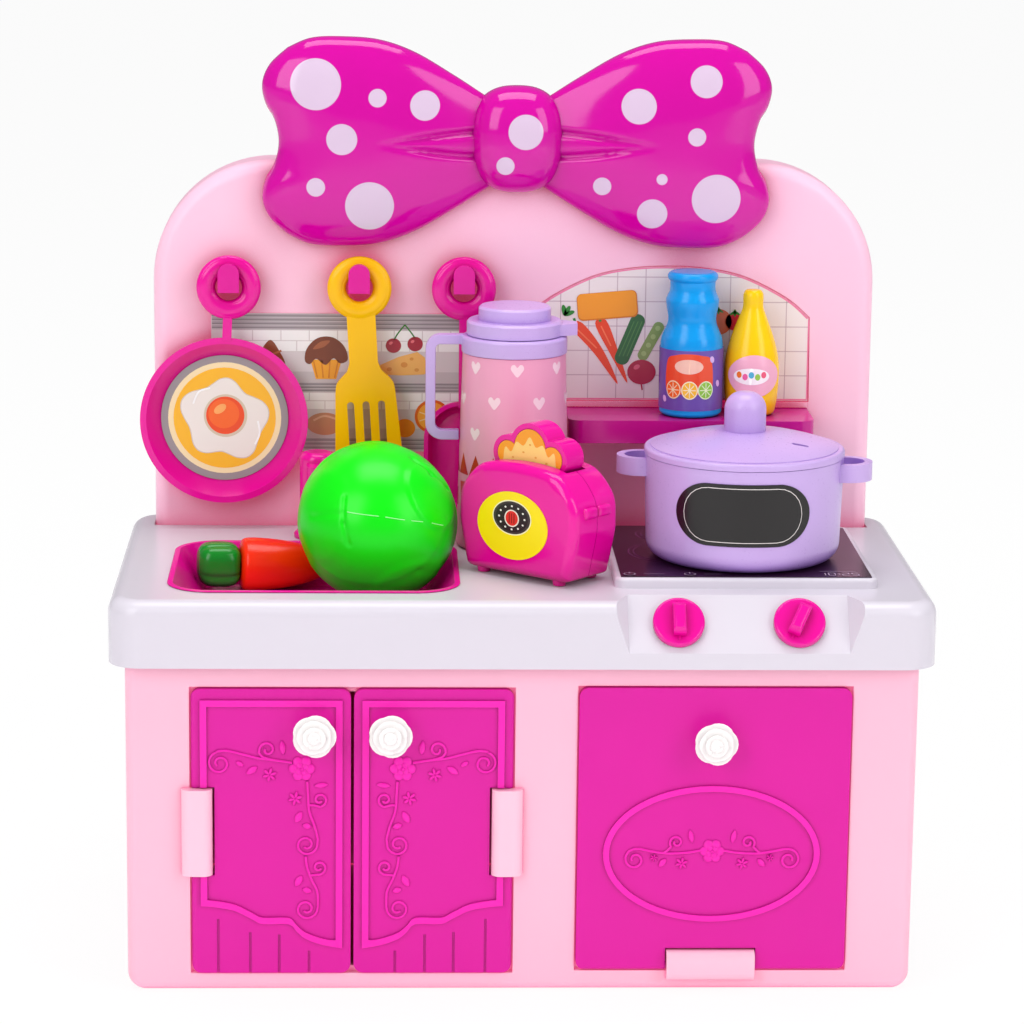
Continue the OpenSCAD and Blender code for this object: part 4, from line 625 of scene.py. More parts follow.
# %% Printed dots on the bow
DOT_EDGE, DOT_FADE = 0.12, -0.1
BOW_DOTS = [(-69.5, 289.7, 8.7), (-48.3, 285.3, 3.1), (-32.0, 282.7, 5.1), (-60.5, 271.1, 5.3),
    (-69.4, 254.5, 3.2), (-50.9, 248.1, 8.4), (2.6, 274.1, 6.0), (-4.3, 262.4, 3.1), (41.4, 283.1, 6.0),
    (64.5, 291.7, 5.5), (61.5, 272.8, 3.1), (29.3, 255.3, 3.1), (49.7, 258.2, 1.9), (46.7, 246.0, 5.2),
    (68.7, 251.4, 8.5)]
bow_plastic, tree = new_material("magenta_styrene_printed_dots")
coords = add(tree, "ShaderNodeTexCoord")
front_view = add(tree, "ShaderNodeVectorMath", settings={"operation": "MULTIPLY"}, values={1: (1, 0, 1)},
    links={0: coords.outputs["Object"]})
dots = None
for x, z, r in BOW_DOTS:
    away = add(tree, "ShaderNodeVectorMath", settings={"operation": "DISTANCE"},
        values={1: (x * MM, 0, z * MM)}, links={0: front_view.outputs[0]})
    dot = add(tree, "ShaderNodeMapRange", links={"Value": away.outputs["Value"]},
        values={"From Min": (r + DOT_EDGE) * MM, "From Max": (r - DOT_EDGE) * MM}).outputs["Result"]
    dots = dot if dots is None else add(tree, "ShaderNodeMath", settings={"operation": "MAXIMUM"},
        links={0: dots, 1: dot}).outputs[0]
outward = add(tree, "ShaderNodeSeparateXYZ", links={"Vector": coords.outputs["Normal"]})
front_only = add(tree, "ShaderNodeMapRange", values={"From Min": 0.0, "From Max": DOT_FADE},
    links={"Value": outward.outputs["Y"]})
dots = add(tree, "ShaderNodeMath", settings={"operation": "MULTIPLY"},
    links={0: dots, 1: front_only.outputs["Result"]}).outputs[0]
dotted = add(tree, "ShaderNodeMix", settings={"data_type": "RGBA"},
    values={"A": linear(bow_magenta), "B": linear("#DAC2DC")}, links={"Factor": dots})
# The bow gets a painted plum shade in its hollows, where little of the room is open.
close_material(bow_plastic, plastic_shader(tree, dotted.outputs[2], 0.1, grain_um=0.6, sink_mm=24, sink_um=30,
    deep="#A00478", reach_mm=8, gleam=0.45))

# %% [markdown]
# ### The bow in one piece
# Lobes and knot are one moulding, so their meshes are joined. A rolled bead follows the edge of each lobe. It
# is made by the same helper that draws every bead of this lesson: a curve with a round section.

# %% Put the bow together
ROLL_R, ROLL_INSET = 1.05, 1.1
LOBE_HEART = Vector((44, 0))
bow = bmesh.new()
for part in (bow_lobe(-1), bow_lobe(1), bow_knot()):
    scrap = bpy.data.meshes.new("part")
    part.to_mesh(scrap)
    part.free()
    bow.from_mesh(scrap)
    bpy.data.meshes.remove(scrap)
finish_piece("bow_shell", bow, bow_plastic, "cabinet", ["bow"], smooth=50, weighted=False)


def tube(name, paths, radius, material, body):
    """A round bead along each path of points in millimetres, as a mesh."""
    curve = bpy.data.curves.new(name, "CURVE")
    curve.dimensions = "3D"
    curve.bevel_depth = radius * MM
    curve.bevel_resolution = 2
    curve.use_fill_caps = True
    for path in paths:
        spline = curve.splines.new("POLY")
        spline.points.add(len(path) - 1)
        for point, place in zip(spline.points, path):
            point.co = (*(Vector(place) * MM), 1)
    holder = show(name, curve)
    bpy.context.view_layer.update()
    mesh = bpy.data.meshes.new_from_object(holder.evaluated_get(bpy.context.evaluated_depsgraph_get()))
    bpy.data.objects.remove(holder)
    bm = bmesh.new()
    bm.from_mesh(mesh)
    bpy.data.meshes.remove(mesh)
    bmesh.ops.remove_doubles(bm, verts=bm.verts, dist=0.1 * MICRON)
    finish_piece(name, bm, material, body, smooth=60, weighted=False)


rim_paths = []
for side in (-1, 1):
    path = [lobe_point(i / 40, 1) for i in range(41)] + [lobe_point(1, 1 - i / 40) for i in range(1, 41)]
    path += [lobe_point(1 - i / 40, 0) for i in range(1, 41)]
    path = [p + (LOBE_HEART - p).normalized() * ROLL_INSET for p in path]
    rim_paths.append([(side * p.x, BOW_BACK - ROLL_INSET, BOW_Z + p.y) for p in path])
tube("bow_rolled_edge", rim_paths, ROLL_R, gloss_magenta, "cabinet")

# %% [markdown]
# ## The rose knobs
# Each door has a white knob shaped as an open rose. Petals are flattened balls, tilted more and more towards
# the middle, round a small bud.

# %% Roses
# Each ring of petals: how many, half width, distance from the middle, tilt, depth below the tip, and turn.
PETAL_RINGS = [(5, 4.4, 3.0, 8, 5.4, 0), (5, 3.7, 2.4, 16, 3.9, 34), (4, 2.8, 1.5, 26, 2.8, 12),
    (3, 1.8, 0.8, 38, 2.0, 50)]
PETAL_LONGER, PETAL_CUP = 1.12, 0.21
BUD_R, BUD_DEPTH = 1.3, 1.5
STEM_R, STEM_TOP_R, STEM_LONG, STEM_DEPTH = 3.4, 5.2, 5, 8.4
PIN_R, PIN_LONG, PIN_DEPTH = 2, 4, 12


def rose(name, body, node):
    """An open rose on a stem, with its tip where the CAD knob has it."""
    low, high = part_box(node)
    bm = bmesh.new()
    for count, size, away, tilt, depth, turn in PETAL_RINGS:
        for i in range(count):
            petal = bmesh.ops.create_uvsphere(bm, u_segments=20, v_segments=14, radius=1)["verts"]
            for vert in petal:
                x, y, z = vert.co
                vert.co = Vector((size * x, size * PETAL_LONGER * y, z + size * PETAL_CUP * (x * x + y * y)))
            spin = Matrix.Rotation(math.radians(turn + 360 * i / count), 4, "Z")
            lean = Matrix.Rotation(math.radians(-tilt), 4, "Y")
            bmesh.ops.transform(bm, verts=petal, matrix=spin @ Matrix.Translation((away, 0, -depth)) @ lean)
    bmesh.ops.create_uvsphere(bm, u_segments=20, v_segments=14, radius=BUD_R,
        matrix=Matrix.Translation((0, 0, -BUD_DEPTH)))
    bmesh.ops.create_cone(bm, cap_ends=True, segments=32, radius1=STEM_R, radius2=STEM_TOP_R, depth=STEM_LONG,
        matrix=Matrix.Translation((0, 0, -STEM_DEPTH)))
    bmesh.ops.create_cone(bm, cap_ends=True, segments=24, radius1=PIN_R, radius2=PIN_R, depth=PIN_LONG,
        matrix=Matrix.Translation((0, 0, -PIN_DEPTH)))
    to_front = Matrix.Translation(((low[0] + high[0]) / 2, low[1], (low[2] + high[2]) / 2)) \
        @ Matrix.Rotation(math.radians(90), 4, "X") @ Matrix.Scale(MM, 4)
    bmesh.ops.transform(bm, matrix=to_front, verts=bm.verts)
    finish_piece(name, bm, rose_white, body, [node], smooth=60, weighted=False)
    print(f"{name}: {sum(ring[0] for ring in PETAL_RINGS)} petals")


rose("rose_left", "left_door", "door_knob_left")
rose("rose_right", "right_door", "door_knob_right")
rose("rose_oven", "oven_door_body", "oven_door_knob")

# %% [markdown]
# ## The cabbage
# The cabbage is a blown ball with a few big leaves wrapped over each other. A fine ball is moved outwards
# wherever a leaf lies on top, with a slightly wavy edge, and pressed in along the leaves' veins. A thin pale
# line is left where the two halves of the mould met.

# %% Cabbage
low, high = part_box("cabbage")
CABBAGE_AT = Vector([(a + b) / 2 for a, b in zip(low, high)])
CABBAGE_R = (high[0] - low[0]) / 2 / MM
UNDER_LEAVES, INSIDE_BALL = 1.0, 0.1
LEAF_WAVE, LEAF_EDGE = 1.5, 4


def facing(x, z):
    """A direction from the ball's middle, given by where it shows in the front view."""
    return Vector((x, -math.sqrt(max(0.0, 1 - x * x - z * z)), z)).normalized()


# Each leaf: its middle, how far it reaches in degrees, and its rise in millimetres.
LEAVES = [(facing(-0.12, 0.47), 68, 0.35), (facing(0.74, 0.44), 25, 0.9), (facing(0.42, -0.74), 30, 0.45),
    (facing(-0.82, 0.2), 35, 0.3), (Vector((-0.3, 0.8, 0.3)).normalized(), 60, 0.7),
    (Vector((0.7, 0.5, -0.2)).normalized(), 40, 0.6), (facing(-0.6, -0.72), 24, 0.3)]
# Each vein or notch: its two ends, its width as a share of the radius, and its depth in millimetres.
VEINS = [(facing(*a), facing(*b), wide, deep) for a, b, wide, deep in [
    ((-0.40, 0.47), (-0.41, 0.16), 0.026, 0.45), ((-0.41, 0.16), (-0.35, -0.09), 0.030, 0.4),
    ((-0.43, 0.28), (-0.80, 0.18), 0.040, 0.25), ((0.70, 0.28), (0.86, 0.14), 0.03, 0.5),
    ((0.5, -0.46), (0.78, -0.58), 0.04, 0.3), ((0.44, 0.86), (0.66, 0.66), 0.035, 0.9),
    ((0.66, 0.66), (0.86, 0.46), 0.03, 0.7)]]
# The mould's seam shows in four short runs, from place to place in the front view.
SEAM_RUNS = [((-0.37, 0.305), (0.02, 0.27)), ((0.10, 0.26), (0.34, 0.215)), ((0.42, 0.2), (0.56, 0.17)),
    ((0.66, 0.14), (0.80, 0.08))]
SEAM_R, SEAM_SUNK = 0.16, 0.02


def cabbage_radius(way):
    """How far the skin lies from the middle in one direction."""
    r = CABBAGE_R - UNDER_LEAVES
    for i, (middle, reach, rise) in enumerate(LEAVES):
        edge = reach + LEAF_WAVE * math.sin(4.1 * way.x + 5.3 * way.z + 1.7 * i)
        r += rise * (1 - smoothstep(edge - LEAF_EDGE, edge + LEAF_EDGE, math.degrees(way.angle(middle))))
    for a, b, wide, deep in VEINS:
        t = min(max((way - a).dot(b - a) / (b - a).length_squared, 0.0), 1.0)
        away = (way - a - (b - a) * t).length
        r -= deep * math.exp(-((away / wide) ** 2))
    return min(r, CABBAGE_R - INSIDE_BALL)


bm = bmesh.new()
bmesh.ops.create_icosphere(bm, subdivisions=7, radius=1)
for vert in bm.verts:
    way = vert.co.normalized()
    vert.co = CABBAGE_AT + way * cabbage_radius(way) * MM
bmesh.ops.smooth_vert(bm, verts=bm.verts, factor=0.4, use_axis_x=True, use_axis_y=True, use_axis_z=True)
finish_piece("cabbage_blown", bm, cabbage_green, "cabbage_body", ["cabbage"], smooth=80,
    weighted=False)

seam_green = plastic("mould_seam_pale_green", "#9CF59C", 0.3)
seam = []
for start, end in SEAM_RUNS:
    ways = [facing(*Vector(start).lerp(Vector(end), i / 12)) for i in range(13)]
    seam.append([CABBAGE_AT / MM + way * (cabbage_radius(way) - SEAM_SUNK) for way in ways])
tube("cabbage_seam", seam, SEAM_R, seam_green, "cabbage_body")
print(f"cabbage: {len(LEAVES)} leaves on a ball of {2 * CABBAGE_R:.1f} mm")

# %% [markdown]
# ## The carrot's cap
# The carrot lies in the sink with its green cap to the left. The cap is a boxy ball with four lobes, as on a
# blown toy, so a ball is pushed towards a box and creased between the lobes.

# %% Carrot cap
CARROT_AT = Vector((-94.8, 2.0, 129.3))
CARROT_TURN = Matrix.Rotation(math.radians(10), 3, "Z") @ Matrix.Rotation(math.radians(92), 3, "Y")
CAP_HALF, CAP_HALF_LONG, CAP_BACK = 7.5, 7.4, 7.0
CREASE_DEEP, CREASE_WIDE, CREASE_TURN = 0.1, 0.12, 0.35
bm = bmesh.new()
bmesh.ops.create_uvsphere(bm, u_segments=96, v_segments=64, radius=1)
for vert in bm.verts:
    x, y, z = vert.co
    boxy = (abs(x) ** 3 + abs(y) ** 3 + abs(z) ** 3.4) ** (-1 / 3)
    crease = abs((math.atan2(y, x) + CREASE_TURN) % (math.pi / 2) - math.pi / 4)
    dent = 1
    if abs(z) < 1:
        dent -= CREASE_DEEP * math.exp(-((crease / CREASE_WIDE) ** 2)) * smoothstep(1.0, 0.5, abs(z))
    wide = CAP_HALF * boxy * dent
    place = Vector((x * wide, y * wide, CAP_HALF_LONG * z * boxy - CAP_BACK))
    vert.co = (CARROT_AT + CARROT_TURN @ place) * MM
bmesh.ops.smooth_vert(bm, verts=bm.verts, factor=0.5, use_axis_x=True, use_axis_y=True, use_axis_z=True)
finish_piece("carrot_cap", bm, carrot_green, BODY_OF["carrot_top"], ["carrot_top"],
    smooth=80, weighted=False)
print(f"carrot cap: {2 * CAP_HALF} mm wide with four lobes")

# %% [markdown]
# ## The toaster
# The toaster is moulded in two halves that meet in a fine line round its middle. Each half is a stack of the
# same outline, drawn in towards the front along a quarter circle and bridged ring by ring, then cut open for
# the slice. That gives the pillow-like roundness of the real piece.

# %% Toaster halves
TOASTER_AT, TOASTER_TURN = Vector((5.5, -27.6, 133.2)), math.radians(-41)
HALF_WIDE, FOOT_UP, TOP_UP, FOOT_IN = 25, 1.4, 39, 2.8
HALF_DEEP, PILLOW = 12.2, 3.2
SEAM_GAP, SEAM_STEP, PILLOW_STEPS = 0.1, 0.35, 8
SLOT_SIZE, SLOT_MIDDLE = (31.8, 10.2, 29), 34
FOOT_X, FOOT_DEEP, FOOT_HIGH, FOOT_LOW_R, FOOT_TOP_R = 16, 8.2, 2.2, 2.1, 2.5
LEVER_AT, LEVER_SIZE, LEVER_EDGE = (24.2, 3.6, 24.6), (3.4, 7.0, 3.9), 1.2


def on_toaster(u, depth, v):
    """A point in the toaster's own millimetres, with depth towards its back."""
    return (TOASTER_AT.x + u * math.cos(TOASTER_TURN) - depth * math.sin(TOASTER_TURN),
        TOASTER_AT.y + u * math.sin(TOASTER_TURN) + depth * math.cos(TOASTER_TURN), TOASTER_AT.z + v)


def toaster_outline(grow):
    """The front view's outline, drawn in by `grow` all round."""
    half, foot, top = HALF_WIDE - grow, FOOT_UP + grow, TOP_UP - grow
    low = half - FOOT_IN
    right_side = [(low - 3, foot), (low - 0.8, foot + 0.8), (low, foot + 3), (half - 0.3, 16), (half, 20),
        (half - 0.3, 26), (half - 2.2, 30.4), (half - 7, top - 3.2), (12, top - 0.9), (0, top)]
    points = right_side + [(-x, z) for x, z in reversed(right_side[:-1])]
    curve = [along(points, i / 108) for i in range(109)]
    floor = [curve[-1].lerp(curve[0], i / 16) for i in range(1, 16)]
    return curve + floor


def toaster_half(name, node, side):
    turns = [math.pi / 2 * i / PILLOW_STEPS for i in range(PILLOW_STEPS + 1)]
    rings = [(SEAM_GAP, 0), (SEAM_STEP, 0)]
    rings += [(HALF_DEEP - PILLOW + PILLOW * math.sin(a), PILLOW * (1 - math.cos(a))) for a in turns]
    bm = bmesh.new()
    loops = []
    for away, grow in rings:
        verts = [bm.verts.new((p.x, side * away, p.y)) for p in toaster_outline(grow)]
        loops.append([bm.edges.new((a, b)) for a, b in zip(verts, verts[1:] + verts[:1])])
    for near, far in zip(loops, loops[1:]):
        bmesh.ops.bridge_loops(bm, edges=near + far)
    for loop in (loops[0], loops[-1]):
        bmesh.ops.edgeloop_fill(bm, edges=loop)
    bmesh.ops.recalc_face_normals(bm, faces=bm.faces)
    slot = bmesh.new()
    bmesh.ops.create_cube(slot, size=1,
        matrix=Matrix.Translation((0, 0, SLOT_MIDDLE)) @ Matrix.Diagonal((*SLOT_SIZE, 1)))
    bm = carve(bm, slot)
    for x in (-FOOT_X, FOOT_X):
        bmesh.ops.create_cone(bm, cap_ends=True, segments=32, radius1=FOOT_LOW_R, radius2=FOOT_TOP_R,
            depth=FOOT_HIGH, matrix=Matrix.Translation((x, side * FOOT_DEEP, FOOT_HIGH / 2)))
    lever_at = Matrix.Translation((LEVER_AT[0], side * LEVER_AT[1], LEVER_AT[2]))
    lever = bmesh.ops.create_cube(bm, size=1, matrix=lever_at @ Matrix.Diagonal((*LEVER_SIZE, 1)))["verts"]
    edges = list({e for v in lever for e in v.link_edges})
    bmesh.ops.bevel(bm, geom=edges, offset=LEVER_EDGE, offset_type="OFFSET", segments=4, profile=0.5,
        affect="EDGES", clamp_overlap=True, material=-1)
    for vert in bm.verts:
        vert.co = Vector(on_toaster(*vert.co)) * MM
    finish_piece(name, bm, gloss_magenta, "toaster", [node], smooth=40, weighted=False)
    print(f"{name}: {len(rings)} rings, {PILLOW} mm soft")


toaster_half("toaster_front_half", "toaster_front", -1)
toaster_half("toaster_rear_half", "toaster_rear", 1)

# %% [markdown]
# ## Carved vines on the doors
# The cupboard doors carry a raised vine with curls, leaves, small flowers and a rose, and the oven door a
# scroll in the middle of its oval. On the mould these were engraved with a round cutter, so here they are
# half-sunk beads with a round section, which also catch the light along their upper side.

# %% Vines
def curl(u, w, size, start, turns, ends=0.28):
    """A spiral from its outer end at the angle `start` (degrees) inwards; negative turns go clockwise."""
    count = 30
    spiral = []
    for i in range(count + 1):
        reach, angle = size * (1 - (1 - ends) * i / count), math.radians(start + 360 * turns * i / count)
        spiral.append((u + reach * math.cos(angle), w + reach * math.sin(angle)))
    return spiral


def smooth_path(points, steps=6):
    count = steps * (len(points) - 1)
    return [tuple(along(points, i / count)) for i in range(count + 1)]


def bud(bm, at, u, w, turn, half, thick, out=0.0, taper=0.0, segments=(18, 10)):
    """A flattened ball on a door, `out` along its own length from (u, w) and turned about that point."""
    c, s = math.cos(turn), math.sin(turn)
    made = bmesh.ops.create_uvsphere(bm, u_segments=segments[0], v_segments=segments[1], radius=1)["verts"]
    for vert in made:
        x, y, z = vert.co
        x, z = x * half[0] + out, z * half[1] * (1 - taper * x * x)
        vert.co = Vector(at(u + x * c - z * s, w + x * s + z * c, thick * y)) * MM


VINE_R, VINE_PROUD = 0.52, 0.12
LEAF_THICK, LEAF_TAPER, FLOWER_THICK, ROSE_THICK, ROSE_STEP = 0.8, 0.35, 0.75, 0.8, 0.3
# A carved rose's rings of petals: how many, their distance from the middle, and their radius.
ROSE_RINGS = [(6, 0.62, 0.44), (4, 0.3, 0.32), (1, 0, 0.2)]


def relief(name, body, vines, leaves, flowers, roses, at):
    """Beads, leaves and flowers on a door; `at` gives the place in the model of a door's millimetres."""
    bm = bmesh.new()
    for u, w, length, wide, turn in leaves:
        bud(bm, at, u, w, math.radians(turn), (length / 2, wide / 2), LEAF_THICK, taper=LEAF_TAPER,
            segments=(20, 12))
    for u, w, size in flowers:
        for i in range(6):
            bud(bm, at, u, w, i * math.pi / 3 + 0.3, (size * 0.52, size * 0.24), FLOWER_THICK,
                out=size * 0.5, segments=(14, 8))
    for u, w, size in roses:
        for ring, (count, reach, petal) in enumerate(ROSE_RINGS):
            for i in range(count):
                angle = 2 * math.pi * i / count + ring * 0.6
                bud(bm, at, u + size * reach * math.cos(angle), w + size * reach * math.sin(angle), 0,
                    (size * petal, size * petal), ROSE_THICK + ROSE_STEP * ring)
    bmesh.ops.recalc_face_normals(bm, faces=bm.faces)
    finish_piece(name + "_leaves", bm, door_styrene, body, smooth=60, weighted=False)
    beads = [[at(u, w, -VINE_PROUD) for u, w in vine] for vine in vines]
    tube(name + "_vines", beads, VINE_R, door_styrene, body)
    print(f"{name}: {len(vines)} vines, {len(leaves)} leaves, {len(flowers)} flowers")


CUPBOARD_VINES = [
    smooth_path([(33.0, 72.0), (27.2, 72.9), (22.1, 73.5), (17.0, 74.8), (11.9, 76.0), (8.4, 75.8)])
    + curl(9.4, 71.8, 3.9, 100, 1.35),
    smooth_path([(27.2, 72.9), (23.6, 73.9), (22.2, 75.6)]) + curl(25.0, 76.4, 2.7, 190, -1.1),
    smooth_path([(37.9, 65.7), (38.2, 60.9), (38.6, 55.6), (40.4, 50.3), (41.4, 46.1)])
    + curl(37.6, 44.2, 3.7, 10, -1.4),
    smooth_path([(38.6, 57.6), (40.2, 57.6), (42.3, 57.0)]) + curl(42.0, 59.5, 2.3, -60, 1.1),
    smooth_path([(37.4, 40.2), (37.9, 36.5), (39.4, 32.2), (41.2, 28.0), (41.4, 22.7)])
    + curl(37.6, 22.2, 3.7, 6, -1.4),
    smooth_path([(39.0, 33.6), (40.6, 33.8), (42.4, 34.0)]) + curl(41.8, 36.4, 2.3, -60, 1.1),
]
# Leaves by place, length, width and turn; flowers and roses by place and size.
CUPBOARD_LEAVES = [(29.9, 77.1, 5.0, 2.2, 96), (19.9, 69.4, 4.6, 2.4, 35), (16.0, 71.6, 3.0, 1.8, -30),
    (42.5, 64.4, 5.0, 1.9, 6), (35.1, 53.5, 4.6, 2.6, 60), (37.9, 50.5, 3.4, 2.2, -15),
    (35.1, 31.7, 4.6, 2.6, 60), (37.9, 28.5, 3.4, 2.2, -15)]
CUPBOARD_FLOWERS = [(25.7, 67.9, 2.5), (34.0, 59.9, 2.5)]
CUPBOARD_ROSES = [(36.2, 70.0, 4.2)]
# A cupboard door's own millimetres run from its hinge edge, so that the two doors mirror each other.
LEFT_HINGE_X, RIGHT_HINGE_X, CUPBOARD_FOOT_Z = -108.3, -3.0, 6.5
for name, from_hinge in (("left_door", lambda u: LEFT_HINGE_X + u),
    ("right_door", lambda u: RIGHT_HINGE_X - u)):
    relief(name, name, CUPBOARD_VINES, CUPBOARD_LEAVES, CUPBOARD_FLOWERS, CUPBOARD_ROSES,
        lambda u, w, d: (from_hinge(u), DOOR_FACE + d, CUPBOARD_FOOT_Z + w))

HALF_SCROLL = [
    smooth_path([(3.4, 41.5), (8.0, 40.7), (14.6, 40.4), (20.0, 41.1), (23.6, 41.9)])
    + curl(25.4, 38.3, 3.7, 104, -1.35),
    smooth_path([(16.0, 40.5), (14.8, 41.4), (13.6, 42.7)]) + curl(11.8, 44.2, 2.3, -40, 1.2),
]
OVEN_LEFT_X, OVEN_FOOT_Z, OVEN_MIDDLE = 18.3, 7.3, 44.4
vines, leaves, flowers = [], [], []
for side in (-1, 1):
    vines += [[(OVEN_MIDDLE + side * u, w) for u, w in vine] for vine in HALF_SCROLL]
    leaves += [(OVEN_MIDDLE + side * 7.0, 46.2, 4.8, 2.0, 90 - side * 12),
        (OVEN_MIDDLE + side * 16.3, 37.2, 3.8, 2.2, 90 + side * 40)]
    flowers += [(OVEN_MIDDLE + side * 10.0, 37.0, 2.2), (OVEN_MIDDLE + side * 19.2, 38.9, 1.4)]
relief("oven_door", "oven_door_body", vines, leaves, flowers, [(OVEN_MIDDLE, 41.2, 4.0)],
    lambda u, w, d: (OVEN_LEFT_X + u, DOOR_FACE + d, OVEN_FOOT_Z + w))

# %% [markdown]
# ## Printed films
# The hob, the tiles, the egg and the labels are printed on thin film and stuck on. Each ink is laid down as a
# flat shape in the film's own millimetres, a hair above the one before, as in screen printing. Shapes for a
# round bottle or pot are cut into narrow strips first, so that they bend with the wall.

# %% A small print shop
INKS = {}
HOB_GLASS, DIAL_YELLOW, POT_BLACK = "#2C0B28", "#FFE600", "#120D0E"


def ink(colour):
    """A thin film of screen ink: smooth, satin, and almost without grain."""
    if colour not in INKS:
        INKS[colour] = plastic("screen_ink_" + colour[1:], colour, 0.24, grain_um=0.5, sink_um=8, drift=0.02)
    return INKS[colour]


class Print:
    """A sheet of flat shapes. Each lies LIFT higher than those of the level below it."""
    LIFT = 0.03

    def __init__(self):
        self.bm = bmesh.new()
        self.inks = []
        self.level = 1

    def lay(self, faces, colour, place=None):
        """Gives faces their ink and height, facing outwards."""
        if colour not in self.inks:
            self.inks.append(colour)
        if place is not None:
            bmesh.ops.transform(self.bm, matrix=place, verts=list({v for f in faces for v in f.verts}))
        for face in faces:
            face.material_index = self.inks.index(colour)
            face.normal_update()
            if face.normal.z < 0:
                face.normal_flip()
            for vert in face.verts:
                vert.co.z = self.level * self.LIFT

    def spot(self, u, v, ru, rv, colour, turn=0):
        """An oval with half sizes ru and rv."""
        place = Matrix.Translation((u, v, 0)) @ Matrix.Rotation(math.radians(turn), 4, "Z") \
            @ Matrix.Diagonal((ru, rv, 1, 1))
        made = bmesh.ops.create_circle(self.bm, cap_ends=True, segments=48, radius=1, matrix=place)["verts"]
        self.lay(made[0].link_faces[:], colour)

    def block(self, u, v, w, h, colour, r=0.0, turn=0):
        """A rectangle round its middle, with corners rounded to r."""
        before = set(self.bm.faces)
        made = bmesh.ops.create_grid(self.bm, x_segments=1, y_segments=1, size=0.5,
            matrix=Matrix.Diagonal((w, h, 1, 1)))["verts"]
        if r:
            bmesh.ops.bevel(self.bm, geom=made, offset=r, offset_type="OFFSET", segments=6, profile=0.5,
                affect="VERTICES", material=-1)
        place = Matrix.Translation((u, v, 0)) @ Matrix.Rotation(math.radians(turn), 4, "Z")
        self.lay([face for face in self.bm.faces if face not in before], colour, place)

    def shape(self, points, colour, steps=5):
        """A closed outline through a few points; steps=1 keeps it straight-sided."""
        count = len(points)
        ring = [between(*(Vector(points[(i + k) % count]) for k in (-1, 0, 1, 2)), s / steps)
            for i in range(count) for s in range(steps)]
        face = self.bm.faces.new([self.bm.verts.new((p.x, p.y, 0)) for p in ring])
        self.lay([face], colour)

    def line(self, points, width, colour, steps=6):
        """A line of even width on a smooth curve through the points."""
        count = steps * (len(points) - 1)
        path = [along(points, i / count) for i in range(count + 1)]
        pairs = []
        for i, p in enumerate(path):
            ahead = (path[min(i + 1, len(path) - 1)] - path[max(i - 1, 0)]).normalized()
            side = Vector((-ahead.y, ahead.x)) * width / 2
            pairs.append([self.bm.verts.new((*(p + k * side), 0)) for k in (1, -1)])
        self.lay([self.bm.faces.new((a[0], a[1], b[1], b[0])) for a, b in zip(pairs, pairs[1:])], colour)

    def close(self, name, place, body, strips=()):
        """Cuts the sheet at the strips, bends it into its place and finishes it."""
        bmesh.ops.triangulate(self.bm, faces=[f for f in self.bm.faces if len(f.verts) > 4])
        for u in strips:
            bmesh.ops.bisect_plane(self.bm, geom=self.bm.verts[:] + self.bm.edges[:] + self.bm.faces[:],
                plane_co=(u, 0, 0), plane_no=(1, 0, 0))
        for vert in self.bm.verts:
            vert.co = Vector(place(*vert.co)) * MM
        piece = finish_piece(name, self.bm, None, body, smooth=60, weighted=False)
        for colour in self.inks:
            piece.data.materials.append(ink(colour))
        print(f"{name}: {len(piece.data.polygons)} faces in {len(self.inks)} inks")


def upright(y):
    """The place of a film on an upright wall."""
    return lambda u, v, lift: (u, y - lift, v)


def round_wall(x, y, radius_at, turn=0):
    """The place of a film round an upright axis, where the wall's radius may change with height."""
    def place(u, v, lift):
        r = radius_at(v)
        angle = u / r + math.radians(turn)
        return (x + (r + lift) * math.sin(angle), y - (r + lift) * math.cos(angle), v)
    return place


for node, colour in [("hob_sticker", HOB_GLASS), ("shelf_print", "#D9CDD1"), ("tile_print", "#F1E6E6"),
    ("egg_sticker", "#9C9498"), ("toast_sticker", "#F79E1E"), ("pot_label", POT_BLACK),
    ("blue_bottle_label", "#6B4FA9"), ("yellow_bottle_label", "#F6B2CA")]:
    target = frame["nodes"][node].data
    target.materials.clear()
    target.materials.append(ink(colour))

# %% [markdown]
# ### The kitchen shelf behind the utensils
# Bands of grey slats part two double rows of white wall tiles, and food stands on the ledges below them: a
# muffin, a chocolate cone, cherries, a cheese, a bun and oranges. The motifs are plain ones, drawn for this
# toy.

# %% Shelf print
FILM_MIDDLE, FILM_WIDE = -56.05, 99.6
SLAT_BANDS, SLAT_PITCH = ((203.0, 208.6), (180.9, 184.3), (160.3, 164.5)), 1.35
TILE_ROWS = ((195.5, 199.0), (199.3, 202.8), (174.9, 177.7), (178.0, 180.7))
TILE_START, TILE_PITCH, TILE_JOINT, TILE_SHIFT, TILE_LAST = -101, 9.9, 0.35, 4.4, -11.2
LEDGES = ((184.4, 188.2), (164.6, 168.0))
art = Print()
for low, top in SLAT_BANDS:
    art.level = 1
    art.block(FILM_MIDDLE, (low + top) / 2, FILM_WIDE, top - low, "#A99DA3")
    slats = round((top - low) / SLAT_PITCH)
    art.level = 2
    for i in range(slats):
        art.block(FILM_MIDDLE, low + (i + 0.5) * (top - low) / slats, FILM_WIDE, 0.3, "#877B83")
        art.block(FILM_MIDDLE, low + (i + 0.15) * (top - low) / slats, FILM_WIDE, 0.25, "#C9BEC3")
art.level = 1
for row, (low, high) in enumerate(TILE_ROWS):
    for i in range(10):
        u = TILE_START + i * TILE_PITCH + (TILE_SHIFT if row % 2 else 0)
        art.block(min(u, TILE_LAST), (low + high) / 2, TILE_PITCH - TILE_JOINT, high - low, "#F4EFF1")
for low, high in LEDGES:
    art.block(FILM_MIDDLE, (low + high) / 2, FILM_WIDE, high - low, "#C8BBC0")
